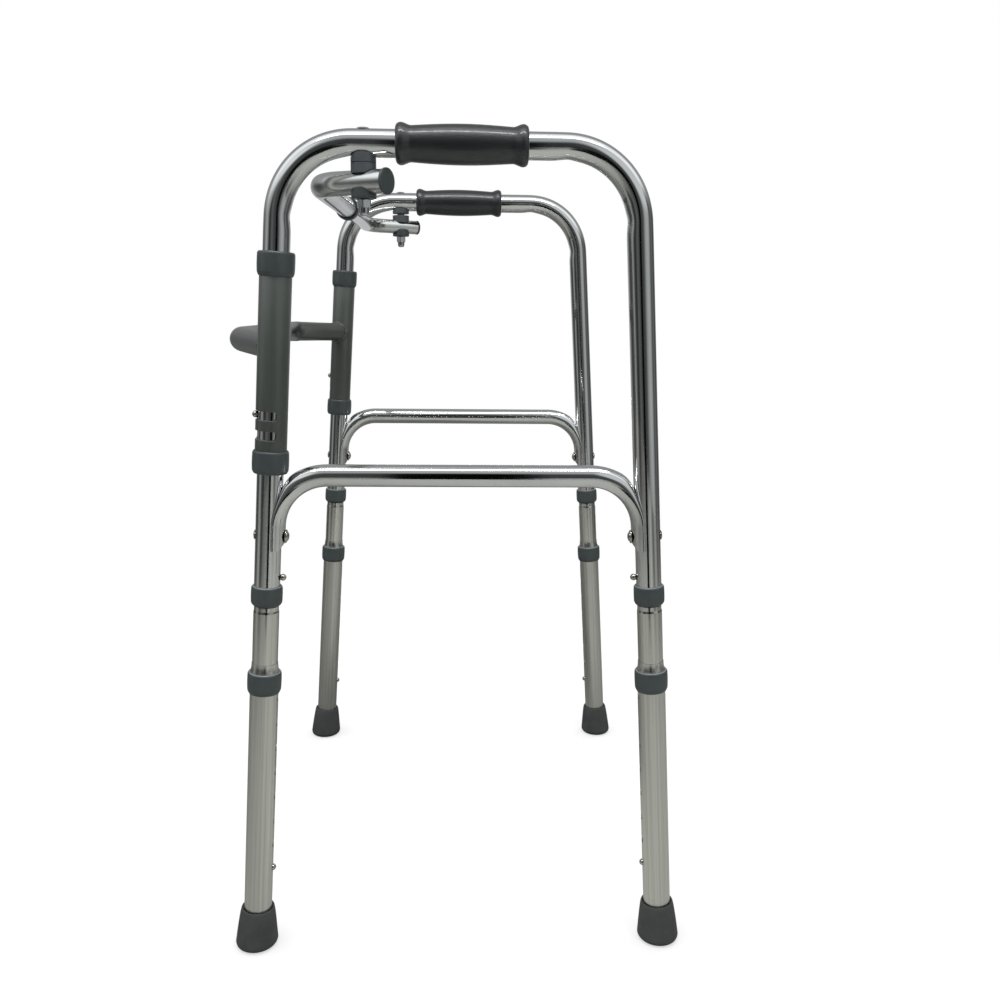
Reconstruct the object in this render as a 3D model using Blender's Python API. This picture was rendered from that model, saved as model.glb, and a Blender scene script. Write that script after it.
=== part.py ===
# A folding walker. Two side frames swing on the uprights at the front, which turn in
# the sleeves of a welded brace. A telescoping bar joins them under the top tubes, and
# four legs slide in and out on snap buttons.
# Metres, +Z up, floor at z = 0, front of the walker at -Y, the user stands at +Y.

import math

import bmesh
import bpy
from mathutils import Matrix, Vector

# Whole frame
FRAME_HALF_WIDTH = 0.265
FOOT_HALF_SPREAD = 0.2162
LEG_SPLAY = math.atan(0.0625)
TOP_TUBE_HEIGHT = 0.818
TOP_BEND_RADIUS = 0.0705
FRAME_TUBE_R = 0.0127
TUBE_WALL = 0.0012

# Gaps between pieces that touch, slide and turn
TOUCH = 0.0003
RUNNING = 0.0005
HOLE_CLEARANCE = 0.0004

# Arch tube that ties the two uprights of a side frame, and its crushed, riveted ends
ARCH_HEIGHT = 0.5083
ARCH_TUBE_R = 0.011
ARCH_BEND_RADIUS = 0.053
ARCH_TAIL = 0.0733
ARCH_OVERHANG = 0.0073
CRUSH_THICKNESS = 0.0034
CRUSH_HALF_SPAN = math.radians(70)
CRUSH_BLEND = math.radians(58)
CRUSH_SQUARENESS = 2.6
CRUSH_END_WALL = 1.6
RIVET_ABOVE_ARCH_END = 0.0135
RIVET_SHANK_R = 0.0024
RIVET_HEAD_R = 0.0049
RIVET_HEAD_HEIGHT = 0.0015
RIVET_WASHER_R = 0.0068
RIVET_WASHER_THICKNESS = 0.0012
RIVET_DOME_HEIGHT = 0.0024

# Leg: a tube swaged into the upright, and a lower tube that slides over it
LEG_BUTTON_BELOW_ARCH_END = 0.0286
UPRIGHT_BELOW_LEG_BUTTON = 0.0251
NECK_SHOWN = 0.0052
NECK_ABOVE_LEG_BUTTON = 0.030
NECK_TAPER = 0.002
LEG_TUBE_R = 0.0127
LEG_TUBE_END = 0.075
LOWER_TUBE_END = 0.012
HEIGHT_BUTTON_ABOVE_TUBE_END = 0.015
HEIGHT_HOLE_PITCH = 0.027
HEIGHT_HOLE_COUNT = 8
LOWER_TUBE_ABOVE_HOLES = 0.025

# Plastic collars
COLLAR_LIP = 0.0033
UPRIGHT_COLLAR_LENGTH = 0.0198
UPRIGHT_COLLAR_WALL = 0.00255
LEG_COLLAR_LENGTH = 0.0224
LEG_COLLAR_WALL = 0.00245
SLEEVE_COLLAR_LENGTH = 0.0225
SLEEVE_COLLAR_WALL = 0.0021
COLLAR_EDGE = 0.0015
COLLAR_FOOT_ROUND = 0.0024
COLLAR_TOP_BEVEL = 0.0009

# Rubber tip
TIP_HEIGHT = 0.044
TIP_RIM_WALL = 0.00265
TIP_RIM_EDGE = 0.0008
TIP_R = 0.0219
TIP_WIDEST_HEIGHT = 0.0062
TIP_SOLE_R = 0.0158
TIP_SWELL = 0.8

# Front brace
SLEEVE_WALL = 0.0021
SLEEVE_ABOVE_ARCH = 0.0023
SLEEVE_BELOW_BEND = 0.0318
BRACE_TUBE_R = 0.0127
BRACE_BELOW_SLEEVE_TOP = 0.0879
BRACE_REACH = 0.0545
BRACE_ARM_ANGLE = math.radians(27)
BRACE_BEND_RADIUS = 0.045
BRACE_VENT_R = 0.0025
UPPER_SLOT_ABOVE_SLEEVE_END = 0.0566
SLOT_SPACING = 0.019
SLOT_HEIGHT = 0.0086
SLOT_START = math.radians(-17)
SLOT_END = math.radians(114)

# Snap buttons, each riveted to the end of a bent leaf spring
BUTTON_R = 0.0034
BUTTON_FLANGE_R = 0.0044
BUTTON_FLANGE_THICKNESS = 0.0010
LEG_BUTTON_PROUD = 0.0058
HEIGHT_BUTTON_PROUD = 0.0033
FOLD_BUTTON_PROUD = 0.0034
LEAF_LENGTH = 0.024
LEAF_WIDTH = 0.005
LEAF_THICKNESS = 0.0007
LEAF_SHOULDER = 0.9
LEAF_ARCH = (0.35, 0.62, 0.89)
BUTTON_WAIST = 0.78

# Hand grip
GRIP_END_MARGIN = 0.027
GRIP_SHIFT_LEFT = -0.0088
GRIP_SHIFT_RIGHT = -0.0158
GRIP_MIDDLE_R = 0.0182
GRIP_NECK_R = 0.0162
GRIP_RING_R = 0.0185
GRIP_NECK_FROM_END = 0.016
GRIP_RING_FROM_END = 0.005
GRIP_END_WALL = 0.0032
GRIP_EDGE = 0.0012

# Telescoping bar between the side frames
BAR_OUTER_R = 0.011
BAR_FIT = 0.0003
BAR_BELOW_FRAME_TUBE = 0.0109
BAR_BEND_RADIUS = 0.045
BAR_ARM_ANGLE = math.radians(30)
BAR_ARM_PAST_PIN = 0.024
BAR_FORWARD_OF_PIN = 0.0455
BAR_OVERLAP = 0.060
PIN_FROM_BEND = 0.00985
RING_R = 0.0135
RING_STEP_R = 0.0122
RING_LENGTH = 0.010
RING_STEP_LENGTH = 0.004
RING_LIP = 0.004
RING_EDGE = 0.0008
CAP_FLANGE_WALL = 0.001
CAP_FLANGE_LENGTH = 0.003
CAP_PLUG_LENGTH = 0.012
CAP_CROWN = 0.0007
CAP_EDGE = 0.0008

# Pivot bolt and what it holds
BOLT_R = 0.003
BOLT_HEAD_R = 0.0056
BOLT_HEAD_HEIGHT = 0.0017
PIVOT_HOLE_CLEARANCE = 0.0008
SADDLE_R = 0.01175
UPPER_SADDLE_BELOW_TUBE = 0.0048
UPPER_SADDLE_GRASP = 0.0065
PIVOT_GAP = 0.0007
SADDLE_EDGE = 0.0006
WASHER_EDGE = 0.0012
LOWER_SADDLE_GRASP = 0.0036
WASHER_BELOW_BAR = 0.0040
WASHER_GRASP = 0.0050
NUT_HEX_R = 0.0075
NUT_HEX_HEIGHT = 0.0070
NUT_DOME_HEIGHT = 0.0075
NUT_DOME_R = 0.0052
NUT_TIP_R = 0.0034
NUT_SKIN = 0.0025
NUT_TIP_EDGE = 0.001

# Facets
TUBE_SIDES = 14
BEND_STEPS = 6
HOLE_SIDES = 8
PIN_SIDES = 10
NUT_SIDES = 6
SLOT_STEPS = 11
CORNER_STEPS = 3

# Cutters run past the walls that they cut, by these shares of the wall's radius
CUT_PAST = 1.4
CUT_SHORT = 0.5

# Sizes that follow
SPLAY_COS = math.cos(LEG_SPLAY)
TUBE_BORE_R = FRAME_TUBE_R - TUBE_WALL
TOP_HALF_SPREAD = FOOT_HALF_SPREAD - TOP_TUBE_HEIGHT * math.tan(LEG_SPLAY)
TOP_BEND_REACH = TOP_BEND_RADIUS * math.tan((math.pi / 2 - LEG_SPLAY) / 2)
TOP_STRAIGHT_HALF = TOP_HALF_SPREAD - TOP_BEND_REACH
ARCH_END_HEIGHT = ARCH_HEIGHT - ARCH_TAIL
LEG_BUTTON_HEIGHT = ARCH_END_HEIGHT - LEG_BUTTON_BELOW_ARCH_END
UPRIGHT_END = LEG_BUTTON_HEIGHT - UPRIGHT_BELOW_LEG_BUTTON
UPRIGHT_COLLAR_END = UPRIGHT_END - TOUCH - COLLAR_LIP
NECK_R = TUBE_BORE_R - TOUCH
LEG_SHOULDER = UPRIGHT_COLLAR_END - NECK_SHOWN
HEIGHT_BUTTON_HEIGHT = LEG_TUBE_END + HEIGHT_BUTTON_ABOVE_TUBE_END
LOWER_TUBE_BORE_R = LEG_TUBE_R + HOLE_CLEARANCE
LOWER_TUBE_R = LOWER_TUBE_BORE_R + TUBE_WALL
LOWER_TUBE_TOP = (
    HEIGHT_BUTTON_HEIGHT + (HEIGHT_HOLE_COUNT - 1) * HEIGHT_HOLE_PITCH + LOWER_TUBE_ABOVE_HOLES
)
SLEEVE_BORE_R = FRAME_TUBE_R + RUNNING
SLEEVE_R = SLEEVE_BORE_R + SLEEVE_WALL
SLEEVE_BOTTOM = ARCH_HEIGHT + SLEEVE_ABOVE_ARCH
SLEEVE_TOP = TOP_TUBE_HEIGHT - TOP_BEND_REACH * SPLAY_COS - SLEEVE_BELOW_BEND
BRACE_HEIGHT = SLEEVE_TOP - BRACE_BELOW_SLEEVE_TOP
UPPER_SLOT_HEIGHT = SLEEVE_BOTTOM + UPPER_SLOT_ABOVE_SLEEVE_END
BAR_BORE_R = BAR_OUTER_R - TUBE_WALL
BAR_INNER_R = BAR_BORE_R - BAR_FIT
BAR_HEIGHT = TOP_TUBE_HEIGHT - FRAME_TUBE_R - BAR_BELOW_FRAME_TUBE - BAR_OUTER_R
PIN_Y = PIN_FROM_BEND - TOP_STRAIGHT_HALF
BAR_Y = PIN_Y - BAR_FORWARD_OF_PIN
SPLIT_HEIGHT = TOP_TUBE_HEIGHT - FRAME_TUBE_R - UPPER_SADDLE_BELOW_TUBE
GRIP_RUN_START = PIN_Y + SADDLE_R
GRIP_LENGTH = TOP_STRAIGHT_HALF - GRIP_RUN_START - 2 * GRIP_END_MARGIN
GRIP_MIDDLE_Y = (TOP_STRAIGHT_HALF + GRIP_RUN_START) / 2
BRACE_ARM_RUN = BRACE_REACH / math.tan(BRACE_ARM_ANGLE)

SIDES = {"left": 1, "right": -1}
ENDS = {"front": -1, "rear": 1}


def clear_scene():
    for item in list(bpy.data.objects):
        bpy.data.objects.remove(item)


def material(name, colour, roughness, metallic):
    found = bpy.data.materials.get(name)
    if found:
        return found
    made = bpy.data.materials.new(name)
    made.use_nodes = True
    shader = made.node_tree.nodes["Principled BSDF"]
    shader.inputs["Base Color"].default_value = (*colour, 1)
    shader.inputs["Roughness"].default_value = roughness
    shader.inputs["Metallic"].default_value = metallic
    made.diffuse_color = (*colour, 1)
    return made


def polished_tube():
    return material("polished_tube", (0.66, 0.66, 0.64), 0.12, 1.0)


def satin_tube():
    return material("satin_tube", (0.60, 0.60, 0.56), 0.38, 1.0)


def painted_brace():
    return material("painted_brace", (0.055, 0.062, 0.056), 0.42, 0.2)


def dark_plastic():
    return material("dark_plastic", (0.055, 0.068, 0.078), 0.5, 0.0)


def grip_vinyl():
    return material("grip_vinyl", (0.045, 0.055, 0.064), 0.42, 0.0)


def tip_rubber():
    return material("tip_rubber", (0.085, 0.092, 0.094), 0.75, 0.0)


def zinc_steel():
    return material("zinc_steel", (0.55, 0.56, 0.56), 0.28, 1.0)


# Shapes: lists of rings of points, joined by faces

def circle(radius, sides):
    turns = [2 * math.pi * k / sides for k in range(sides)]
    return [(radius * math.cos(turn), radius * math.sin(turn)) for turn in turns]


def join_rings(mesh, lower, upper):
    count = max(len(lower), len(upper))
    for k in range(count):
        after = (k + 1) % count
        corners = [lower[k % len(lower)], lower[after % len(lower)]]
        corners += [upper[after % len(upper)], upper[k % len(upper)]]
        mesh.faces.new(list(dict.fromkeys(corners)))


def skin(rings, looped=False):
    # One closed body through the rings. A ring of one point is a pole. A looped skin
    # joins its last ring to its first, as in a tube with a bore.
    mesh = bmesh.new()
    loops = [[mesh.verts.new(point) for point in ring] for ring in rings]
    for lower, upper in zip(loops, loops[1:]):
        join_rings(mesh, lower, upper)
    if looped:
        join_rings(mesh, loops[-1], loops[0])
    else:
        for end in (loops[0], loops[-1]):
            if len(end) > 2:
                mesh.faces.new(end)
    bmesh.ops.recalc_face_normals(mesh, faces=mesh.faces)
    return mesh


def turned(profile, sides=TUBE_SIDES, looped=False, axis="Z"):
    # A profile of (radius, height) points turned about Z or Y
    rings = []
    for radius, height in profile:
        ring = circle(radius, sides) if radius else [(0, 0)]
        if axis == "Z":
            rings.append([(x, y, height) for x, y in ring])
        else:
            rings.append([(x, height, y) for x, y in ring])
    return skin(rings, looped)


def bent_path(corners, radius):
    # Places and directions along straight runs with a round bend at each inner corner
    corners = [Vector(corner) for corner in corners]
    path = [(corners[0], (corners[1] - corners[0]).normalized())]
    for before, corner, after in zip(corners, corners[1:], corners[2:]):
        way_in = (corner - before).normalized()
        way_out = (after - corner).normalized()
        turn = way_in.angle(way_out)
        axis = way_in.cross(way_out).normalized()
        start = corner - way_in * radius * math.tan(turn / 2)
        centre = start + axis.cross(way_in) * radius
        for k in range(BEND_STEPS + 1):
            spin = Matrix.Rotation(turn * k / BEND_STEPS, 3, axis)
            path.append((centre + spin @ (start - centre), spin @ way_in))
    path.append((corners[-1], (corners[-1] - corners[-2]).normalized()))
    return path


def ring_on_path(place, direction, normal, outline):
    up = direction.cross(normal)
    return [place + normal * across + up * rise for across, rise in outline]


def solid_along(path, normal, radius, sides=TUBE_SIDES):
    outline = circle(radius, sides)
    return skin([ring_on_path(place, way, normal, outline) for place, way in path])


def tube_along(path, normal, radius, bore):
    outside = circle(radius, TUBE_SIDES)
    inside = circle(bore, TUBE_SIDES)
    rings = [ring_on_path(place, way, normal, outside) for place, way in path]
    rings += [ring_on_path(place, way, normal, inside) for place, way in reversed(path)]
    return skin(rings, looped=True)


def rod(start, end, radius, sides=HOLE_SIDES):
    # A round bar between two points, turned so that a flat lies across local X
    start, end = Vector(start), Vector(end)
    way = (end - start).normalized()
    normal = Vector((1, 0, 0)) if abs(way.x) < 0.9 else Vector((0, 0, 1))
    outline = circle(radius, sides)
    return skin([ring_on_path(place, way, normal, outline) for place in (start, end)])


def together(meshes):
    whole = bmesh.new()
    for mesh in meshes:
        part = bpy.data.meshes.new("part")
        mesh.to_mesh(part)
        mesh.free()
        whole.from_mesh(part)
        bpy.data.meshes.remove(part)
    return whole


# Objects, their holders and their cutters

def mesh_data(name, mesh, finish=None):
    data = bpy.data.meshes.new(name)
    mesh.to_mesh(data)
    mesh.free()
    data.shade_smooth()
    data.set_sharp_from_angle(angle=math.radians(35))
    if finish:
        data.materials.append(finish)
    return data


def place(name, data, matrix, holder=None):
    item = bpy.data.objects.new(name, data)
    bpy.context.scene.collection.objects.link(item)
    item.matrix_world = matrix
    if holder:
        item.parent = holder
        item.matrix_parent_inverse = holder.matrix_world.inverted()
    return item


def empty(name, matrix, holder=None):
    made = place(name, None, matrix, holder)
    made.empty_display_size = 0.02
    bpy.context.view_layer.update()
    return made


def boolean(item, operation, name, data, matrix):
    tool = place(name, data, matrix)
    tool.hide_render = True
    tool.display_type = "WIRE"
    step = item.modifiers.new(name, "BOOLEAN")
    step.operation = operation
    step.solver = "EXACT"
    step.object = tool


# Places

def leg_frame(side, end):
    # A leg's frame: origin on the floor, +Z up its axis, +Y towards the frame's middle
    sine, cosine = math.sin(LEG_SPLAY), SPLAY_COS
    columns = ((-end, 0, 0), (0, -end * cosine, -sine), (0, -end * sine, cosine))
    turn = Matrix(columns).transposed().to_4x4()
    return Matrix.Translation((side * FRAME_HALF_WIDTH, end * FOOT_HALF_SPREAD, 0)) @ turn


def side_plane(side):
    return Matrix.Translation((side * FRAME_HALF_WIDTH, 0, 0))


def pin_place(side):
    return Matrix.Translation((side * FRAME_HALF_WIDTH, PIN_Y, BAR_HEIGHT))


def along(height):
    # Distance up a leaning leg for a height above the floor
    return height / SPLAY_COS


def axis_y(height):
    # How far the uprights' axes stand from the walker's middle at a height
    return FOOT_HALF_SPREAD - height * math.tan(LEG_SPLAY)


# Side frame

def side_tube_path():
    low = (0, axis_y(UPRIGHT_END), UPRIGHT_END)
    high = (0, TOP_HALF_SPREAD, TOP_TUBE_HEIGHT)
    corners = [(0, -low[1], low[2]), (0, -high[1], high[2]), high, low]
    return bent_path(corners, TOP_BEND_RADIUS)


def across_leg(height, radius, from_y, to_y):
    # A rod across a leg, in the leg's frame, from the outer side at -Y to the inner at +Y
    return rod((0, from_y, along(height)), (0, to_y, along(height)), radius)


def in_side_plane(mesh, end):
    # Moves a mesh from a leg's frame to the side frame's own plane
    matrix = side_plane(1).inverted() @ leg_frame(1, end)
    bmesh.ops.transform(mesh, matrix=matrix, verts=mesh.verts)
    return mesh


def side_tube_holes():
    button_hole = BUTTON_R + HOLE_CLEARANCE
    rivet_hole = RIVET_SHANK_R + HOLE_CLEARANCE
    reach = FRAME_TUBE_R * CUT_PAST
    short = NECK_R * CUT_SHORT
    holes = []
    for end in ENDS.values():
        rivet = across_leg(ARCH_END_HEIGHT + RIVET_ABOVE_ARCH_END, rivet_hole, -reach, reach)
        button = across_leg(LEG_BUTTON_HEIGHT, button_hole, short, reach)
        holes += [in_side_plane(rivet, end), in_side_plane(button, end)]
    fold_button = across_leg(UPPER_SLOT_HEIGHT, button_hole, -reach, -short)
    holes.append(in_side_plane(fold_button, ENDS["front"]))
    low, high = TOP_TUBE_HEIGHT - reach, TOP_TUBE_HEIGHT + reach
    holes.append(rod((0, PIN_Y, low), (0, PIN_Y, high), BOLT_R + HOLE_CLEARANCE, PIN_SIDES))
    return together(holes)


def side_frame_tubes(holders):
    tube = tube_along(side_tube_path(), Vector((1, 0, 0)), FRAME_TUBE_R, TUBE_BORE_R)
    data = mesh_data("side_frame_tube", tube, polished_tube())
    holes = mesh_data("side_frame_tube_holes", side_tube_holes())
    for name, side in SIDES.items():
        item = place(f"side_frame_tube_{name}", data, side_plane(side), holders[name])
        boolean(item, "DIFFERENCE", f"side_tube_holes_{name}", holes, side_plane(side))


# Arch tube

def crushed_outline(thickness, half_span):
    # The crushed end of the arch tube: a crescent round the upright, as offsets from the
    # arch tube's own centre line, point for point with the round outline
    saddle_r = FRAME_TUBE_R + HOLE_CLEARANCE + CRUSH_THICKNESS / 2
    outline = []
    for k in range(TUBE_SIDES):
        turn = 2 * math.pi * k / TUBE_SIDES
        offset = thickness / 2 * max(-1, min(1, CRUSH_SQUARENESS * math.sin(turn)))
        lie = math.pi / 2 - half_span * math.cos(turn)
        across = (saddle_r + offset) * math.cos(lie)
        inward = (saddle_r + offset) * math.sin(lie)
        outline.append((across, inward - (FRAME_TUBE_R - ARCH_OVERHANG)))
    return outline


def pushed_clear(point, least):
    # Moves a point out from the front upright's axis until it is at least that far away
    frame = side_plane(1).inverted() @ leg_frame(1, ENDS["front"])
    local = frame.inverted() @ point
    reach = math.hypot(local.x, local.y)
    if reach >= least:
        return point
    return frame @ Vector((local.x * least / reach, local.y * least / reach, local.z))


def arch_half(radius, thickness, half_span, least):
    # Rings from the front end of the arch to its middle
    offset = (FRAME_TUBE_R - ARCH_OVERHANG) / SPLAY_COS
    end = (0, offset - axis_y(ARCH_END_HEIGHT), ARCH_END_HEIGHT)
    corner = (0, offset - axis_y(ARCH_HEIGHT), ARCH_HEIGHT)
    path = bent_path([end, corner, (0, 0, ARCH_HEIGHT)], ARCH_BEND_RADIUS)
    normal = Vector((1, 0, 0))
    crushed = crushed_outline(thickness, half_span)
    rings = []
    for place_on, way in path[:-1]:
        bent = min(1, path[0][1].angle(way, 0) / CRUSH_BLEND)
        share = bent * bent * (3 - 2 * bent)
        outline = []
        for (across, rise), (flat, lift) in zip(circle(radius, TUBE_SIDES), crushed):
            outline.append((across * share + flat * (1 - share), rise * share + lift * (1 - share)))
        ring = ring_on_path(place_on, way, normal, outline)
        rings.append([pushed_clear(point, least) for point in ring])
    return rings


def mirrored(rings):
    # The rear half of the arch, with the points of each ring in step with the front half
    return [[Vector((p.x, -p.y, p.z)) for p in ring] for ring in reversed(rings)]


def arch_tubes(holders):
    clear = FRAME_TUBE_R + HOLE_CLEARANCE
    inner_span = CRUSH_HALF_SPAN - CRUSH_END_WALL * TUBE_WALL / clear
    outside = arch_half(ARCH_TUBE_R, CRUSH_THICKNESS, CRUSH_HALF_SPAN, clear)
    inside = arch_half(
        ARCH_TUBE_R - TUBE_WALL, CRUSH_THICKNESS - 2 * TUBE_WALL, inner_span, clear + TUBE_WALL
    )
    outside += mirrored(outside)
    inside += mirrored(inside)
    tube = skin(outside + inside[::-1], looped=True)
    data = mesh_data("arch_tube", tube, polished_tube())
    rivet_hole = RIVET_SHANK_R + HOLE_CLEARANCE
    height = ARCH_END_HEIGHT + RIVET_ABOVE_ARCH_END
    far = clear + 2 * CRUSH_THICKNESS
    holes = [across_leg(height, rivet_hole, clear * CUT_SHORT, far) for end in ENDS]
    holes = [in_side_plane(hole, end) for hole, end in zip(holes, ENDS.values())]
    cutter = mesh_data("arch_holes", together(holes))
    for name, side in SIDES.items():
        item = place(f"arch_tube_{name}", data, side_plane(side), holders[name])
        boolean(item, "DIFFERENCE", f"arch_holes_{name}", cutter, side_plane(side))


def domed(radius, base, rise):
    # A quarter of an ellipse from the rim of a dome towards its top, without the top itself
    turns = [math.pi / 2 * k / CORNER_STEPS for k in range(CORNER_STEPS)]
    return [(radius * math.cos(turn), base + rise * math.sin(turn)) for turn in turns]


def rivet_mesh():
    # Turned about Y, its head outside the upright and its washer inside the arch's end
    outer = -(FRAME_TUBE_R + TOUCH)
    washer = FRAME_TUBE_R + HOLE_CLEARANCE + CRUSH_THICKNESS + TOUCH
    face = washer + RIVET_WASHER_THICKNESS
    profile = [(0, outer - RIVET_HEAD_HEIGHT)]
    profile += domed(RIVET_HEAD_R, outer, -RIVET_HEAD_HEIGHT)[::-1]
    profile += [(RIVET_SHANK_R, outer), (RIVET_SHANK_R, washer)]
    profile += [(RIVET_WASHER_R, washer), (RIVET_WASHER_R, face)]
    profile += domed(RIVET_HEAD_R, face, RIVET_DOME_HEIGHT)
    profile.append((0, face + RIVET_DOME_HEIGHT))
    return turned(profile, sides=PIN_SIDES, axis="Y")


def rivets(holders):
    data = mesh_data("arch_rivet", rivet_mesh(), zinc_steel())
    lift = Matrix.Translation((0, 0, along(ARCH_END_HEIGHT + RIVET_ABOVE_ARCH_END)))
    for name, side in SIDES.items():
        for end_name, end in ENDS.items():
            matrix = leg_frame(side, end) @ lift
            place(f"arch_rivet_{end_name}_{name}", data, matrix, holders[name])


def grips(holders):
    half = GRIP_LENGTH / 2
    neck = half - GRIP_NECK_FROM_END
    ring = half - GRIP_RING_FROM_END
    bore = FRAME_TUBE_R + TOUCH
    swell = []
    for k in range(CORNER_STEPS + 1):
        share = k / CORNER_STEPS
        rise = (GRIP_MIDDLE_R - GRIP_NECK_R) * math.cos(math.pi / 2 * share)
        swell.append((GRIP_NECK_R + rise, neck * share))
    tail = [
        ((GRIP_NECK_R + GRIP_RING_R) / 2, (neck + ring) / 2),
        (GRIP_RING_R, ring),
        (GRIP_RING_R - GRIP_EDGE / 2, half - GRIP_EDGE),
        (bore + GRIP_END_WALL, half),
        (bore, half),
    ]
    upper = swell + tail
    lower = [(radius, -height) for radius, height in reversed(upper[1:])]
    data = mesh_data("hand_grip", turned(lower + upper, looped=True, axis="Y"), grip_vinyl())
    for name, shift in (("left", GRIP_SHIFT_LEFT), ("right", GRIP_SHIFT_RIGHT)):
        middle = Matrix.Translation((0, GRIP_MIDDLE_Y + shift, TOP_TUBE_HEIGHT))
        matrix = side_plane(SIDES[name]) @ middle
        place(f"hand_grip_{name}", data, matrix, holders[name])


# Legs

def collar_profile(length, wall, seat_r, lip_r):
    # Lip at the bottom, seat above it, all edges eased
    outer = seat_r + wall
    return [
        (lip_r, 0),
        (outer - COLLAR_EDGE, 0),
        (outer, COLLAR_FOOT_ROUND),
        (outer, length - COLLAR_EDGE),
        (outer - COLLAR_TOP_BEVEL, length),
        (seat_r, length),
        (seat_r, COLLAR_LIP),
        (lip_r, COLLAR_LIP),
    ]


def flipped(profile, length):
    return [(radius, length - height) for radius, height in profile]


def leg_tube():
    bore = LEG_TUBE_R - TUBE_WALL
    low, shoulder = along(LEG_TUBE_END), along(LEG_SHOULDER)
    high = along(LEG_BUTTON_HEIGHT + NECK_ABOVE_LEG_BUTTON)
    profile = [
        (bore, low),
        (LEG_TUBE_R, low),
        (LEG_TUBE_R, shoulder - NECK_TAPER),
        (NECK_R, shoulder),
        (NECK_R, high),
        (NECK_R - TUBE_WALL, high),
        (NECK_R - TUBE_WALL, shoulder),
        (bore, shoulder - NECK_TAPER),
    ]
    return turned(profile, looped=True)


def leg_tube_holes():
    radius = BUTTON_R + HOLE_CLEARANCE
    reach = LEG_TUBE_R * CUT_PAST
    heights = (LEG_BUTTON_HEIGHT, HEIGHT_BUTTON_HEIGHT)
    return together([across_leg(height, radius, NECK_R * CUT_SHORT, reach) for height in heights])


def lower_tube_holes():
    radius = BUTTON_R + HOLE_CLEARANCE
    short, reach = LOWER_TUBE_BORE_R * CUT_SHORT, LOWER_TUBE_R * CUT_PAST
    holes = []
    for k in range(HEIGHT_HOLE_COUNT):
        height = HEIGHT_BUTTON_HEIGHT + k * HEIGHT_HOLE_PITCH
        holes.append(across_leg(height, radius, short, reach))
    return together(holes)


def lower_tube():
    low, high = along(LOWER_TUBE_END), along(LOWER_TUBE_TOP)
    profile = [(LOWER_TUBE_BORE_R, low), (LOWER_TUBE_R, low), (LOWER_TUBE_R, high)]
    profile.append((LOWER_TUBE_BORE_R, high))
    return turned(profile, looped=True)


def rubber_tip():
    # A flared boot whose sole is cut level with the floor, below the lower tube's end
    seat = LOWER_TUBE_R + TOUCH
    floor_drop = TIP_R * math.tan(LEG_SPLAY) * 2
    sole = along(LOWER_TUBE_END) - TOUCH
    rim = seat + TIP_RIM_WALL
    edge = TIP_R - TIP_SOLE_R
    profile = [(0, -floor_drop), (TIP_SOLE_R, -floor_drop), (TIP_SOLE_R, 0)]
    for k in range(1, CORNER_STEPS + 1):
        turn = math.pi / 2 * k / CORNER_STEPS
        rise = TIP_WIDEST_HEIGHT * (1 - math.cos(turn))
        profile.append((TIP_SOLE_R + edge * math.sin(turn), rise))
    flank = TIP_HEIGHT - TIP_RIM_EDGE - TIP_WIDEST_HEIGHT
    for k in range(1, CORNER_STEPS + 1):
        share = k / CORNER_STEPS
        radius = rim + (TIP_R - rim) * (1 - share) ** TIP_SWELL
        profile.append((radius, TIP_WIDEST_HEIGHT + flank * share))
    profile += [(rim - TIP_RIM_EDGE, TIP_HEIGHT), (seat, TIP_HEIGHT), (seat, sole), (0, sole)]
    boot = turned([(radius, along(height)) for radius, height in profile])
    down = leg_frame(1, ENDS["front"]).inverted()
    cut = bmesh.ops.bisect_plane(
        boot,
        geom=boot.verts[:] + boot.edges[:] + boot.faces[:],
        plane_co=(0, 0, 0),
        plane_no=down.to_3x3() @ Vector((0, 0, -1)),
        clear_outer=True,
    )
    rim_edges = [part for part in cut["geom_cut"] if isinstance(part, bmesh.types.BMEdge)]
    bmesh.ops.edgeloop_fill(boot, edges=rim_edges)
    bmesh.ops.recalc_face_normals(boot, faces=boot.faces)
    return boot


def button_mesh(bore_r, wall_r, proud, ball):
    # A snap button pointing to +Y with its leaf spring behind it. The flange lies inside
    # a bore, and the nose comes out past the wall.
    flat = bore_r * math.cos(math.pi / TUBE_SIDES)
    face = math.sqrt(flat**2 - BUTTON_FLANGE_R**2) - TOUCH
    tip = wall_r + proud
    profile = [(0, face - BUTTON_FLANGE_THICKNESS)]
    profile.append((BUTTON_FLANGE_R, face - BUTTON_FLANGE_THICKNESS))
    profile.append((BUTTON_FLANGE_R, face))
    centre = tip - BUTTON_R
    if ball:
        waist = BUTTON_R * BUTTON_WAIST
        profile += [(waist, face), (waist, centre - math.sqrt(BUTTON_R**2 - waist**2))]
    else:
        profile.append((BUTTON_R, face))
    profile += domed(BUTTON_R, centre, BUTTON_R)
    profile.append((0, tip))
    return turned(profile, sides=HOLE_SIDES, axis="Y"), face - BUTTON_FLANGE_THICKNESS


def leaf_mesh(start):
    # A strip bent into a V, from the back of the flange up the bore and down again
    half = LEAF_WIDTH / 2
    shoulder = LEAF_LENGTH * LEAF_SHOULDER
    near, middle, far = (start * (1 - share) for share in LEAF_ARCH)
    line = [
        (start + LEAF_THICKNESS / 2, -BUTTON_R),
        (start + LEAF_THICKNESS / 2, BUTTON_R),
        (near, shoulder),
        (middle, LEAF_LENGTH),
        (far, shoulder),
        (near - start, BUTTON_R),
    ]
    rings = []
    for k, (y, z) in enumerate(line):
        ahead = Vector(line[min(k + 1, len(line) - 1)])
        behind = Vector(line[max(k - 1, 0)])
        way = (ahead - behind).normalized()
        across = Vector((way.y, -way.x)) * LEAF_THICKNESS / 2
        front = (y + across.x, z + across.y)
        back = (y - across.x, z - across.y)
        rings.append([(-half, *front), (half, *front), (half, *back), (-half, *back)])
    return skin(rings)


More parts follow.
